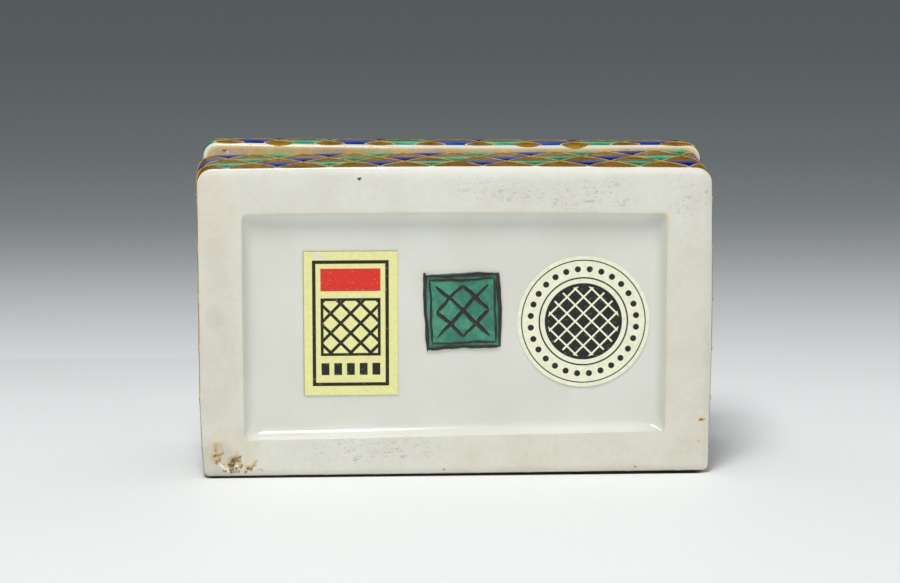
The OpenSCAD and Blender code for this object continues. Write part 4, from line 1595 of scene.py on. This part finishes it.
def set_sheets(studio):
    """The table behind the back wall, the floor under the foot, and two dark cards that glazes mirror."""
    wide, near, far = 1.5, -0.6, 2.5
    behind, under = TRAY_HIGH.y + 0.5 * MM, -0.3 * MM
    table = flat_sheet("table", [(-wide, behind, near), (wide, behind, near), (wide, behind, far),
                                 (-wide, behind, far)], table_finish(studio))
    shelf = flat_sheet("shelf", [(-wide, -wide, under), (wide, -wide, under), (wide, wide, under),
                                 (-wide, wide, under)], shelf_finish(studio))
    card_level = 0.1
    for name, left, right, front, back in (("front_card", -0.09, 0.09, -0.11, -0.0268),
                                           ("left_card", -0.11, -0.0414, -0.1, 0.03)):
        corners = ((left, front), (right, front), (right, back), (left, back))
        card = flat_sheet(name, [(x, y, card_level) for x, y in corners], card_finish(name))
        card.visible_camera = card.visible_diffuse = card.visible_shadow = False
    table.visible_shadow = False
    shelf.visible_shadow = shelf.visible_diffuse = shelf.visible_glossy = False


def soft_light(name, place, watts, width, height):
    """A soft light aimed at the middle of the foot."""
    lamp = bpy.data.lights.new(name, "AREA")
    lamp.shape = "RECTANGLE"
    lamp.size, lamp.size_y, lamp.energy = width, height, watts
    light = bpy.data.objects.new(name, lamp)
    light.location = place
    light.rotation_euler = (-Vector(place)).to_track_quat("-Z", "Y").to_euler()
    bpy.context.scene.collection.objects.link(light)
    return light


def flat_sheet(name, corners, material):
    """One flat face of the stage."""
    mesh = bpy.data.meshes.new(name)
    mesh.from_pydata(corners, [], [(0, 1, 2, 3)])
    mesh.materials.append(material)
    sheet = bpy.data.objects.new(name, mesh)
    bpy.context.scene.collection.objects.link(sheet)
    return sheet


def one_sided(w):
    """Lets a stage sheet show from its front side only."""
    nodes = w.tree.nodes
    out = next(node for node in nodes if node.type == "OUTPUT_MATERIAL")
    mix = w.add("ShaderNodeMixShader", {0: w.add("ShaderNodeNewGeometry").outputs["Backfacing"]})
    w.feed(mix.inputs[1], w.shader[0].node.outputs[0])
    w.feed(mix.inputs[2], w.add("ShaderNodeBsdfTransparent").outputs[0])
    w.feed(out.inputs["Surface"], mix.outputs[0])


# How far along the table from the foot, in metres, and how much of its near colour it has there: painted
# shade, darker further back as the light falls off
TABLE_SHADE_STOPS = ((-0.06, 0.925), (-0.02, 0.925), (0.02, 0.975), (0.06, 0.93), (0.10, 0.82), (0.14, 0.67),
               (0.19, 0.47), (0.22, 0.35), (0.25, 0.26), (0.28, 0.19), (0.32, 0.15), (0.40, 0.092),
               (0.54, 0.048), (0.77, 0.01), (1.04, 0.0))


def table_finish(studio):
    """The pale table, painted darker towards the backdrop as the light falls off, and with a painted shadow
    where the box lies on it.
    """
    w = new_finish("pale_table", Roughness=0.6)
    far = w.split(w.place)[2]
    before, whole = 0.1, 1.2
    ramp = w.add("ShaderNodeValToRGB", {0: w.math("MULTIPLY_ADD", far, 1 / whole, before / whole)})
    for number, (place, share) in enumerate(TABLE_SHADE_STOPS):
        stop = ramp.color_ramp.elements[number] if number < 2 else ramp.color_ramp.elements.new(1.0)
        stop.position = (place + before) / whole
        stop.color = (*Vector(studio.table_far_shade).lerp(Vector(studio.table_near), share), 1)
    # Painted shadow: near black on the table under the box, between its ends and from the foot up towards
    # the lid
    across = w.math("ABSOLUTE", w.split(w.place)[0])
    shadow_between_ends = w.ease(across, TRAY_HIGH.x - 2 * MM, TRAY_HIGH.x, 1.0, 0.0)
    under = w.product(shadow_between_ends, w.ease(far, 0.0, 0.3 * MM),
                      w.ease(far, LID_LOW.z / 2, LID_LOW.z - 2 * MM, 1.0, 0.0))
    dark = (0.01, 0.01, 0.01)
    w.feed(w.shader["Base Color"], w.blend(under, ramp.outputs[0], dark))
    one_sided(w)
    return w.material


def card_finish(name):
    """A dark card that only shows as a reflection, to keep the walls' colours clear."""
    w = new_finish(name, Roughness=0.9)
    w.feed(w.shader["Base Color"], (0.02, 0.02, 0.02, 1))
    return w.material


def shelf_finish(studio):
    """The pale floor that the box stands on, seen from above."""
    w = new_finish("pale_shelf", Roughness=0.7)
    w.feed(w.shader["Base Color"], (*studio.table_near, 1))
    one_sided(w)
    return w.material


class BOX_PT_panel(bpy.types.Panel):
    """Lists the steps that make the box"""
    bl_idname = "BOX_PT_panel"
    bl_label = "Incense box"
    bl_space_type = "VIEW_3D"
    bl_region_type = "UI"
    bl_category = "Incense box"

    def draw(self, context):
        for step in STEPS:
            self.layout.operator(step.bl_idname)


STEPS = (BOX_OT_stage, BOX_OT_tray, BOX_OT_lid, BOX_OT_scales, BOX_OT_gold_lines, BOX_OT_labels, BOX_OT_seal)
SETTINGS = (("box_shape", BoxShape), ("box_pattern", EnamelPattern), ("box_finish", BoxFinish),
            ("box_marks", BoxMarks), ("box_studio", BoxStudio))


def register():
    """Adds the settings, the steps and the panel."""
    for name, group in SETTINGS:
        bpy.utils.register_class(group)
        setattr(bpy.types.Scene, name, PointerProperty(type=group))
    for step in (*STEPS, BOX_PT_panel):
        bpy.utils.register_class(step)


def unregister():
    """Takes the settings, the steps and the panel out again."""
    for step in reversed((*STEPS, BOX_PT_panel)):
        bpy.utils.unregister_class(step)
    for name, group in reversed(SETTINGS):
        delattr(bpy.types.Scene, name)
        bpy.utils.unregister_class(group)


def main():
    """Makes the stage and every piece."""
    register()
    for name in ("stage", "tray", "lid", "scales", "gold_lines", "labels", "seal"):
        getattr(bpy.ops.incense_box, name)()


if __name__ == "__main__":
    main()
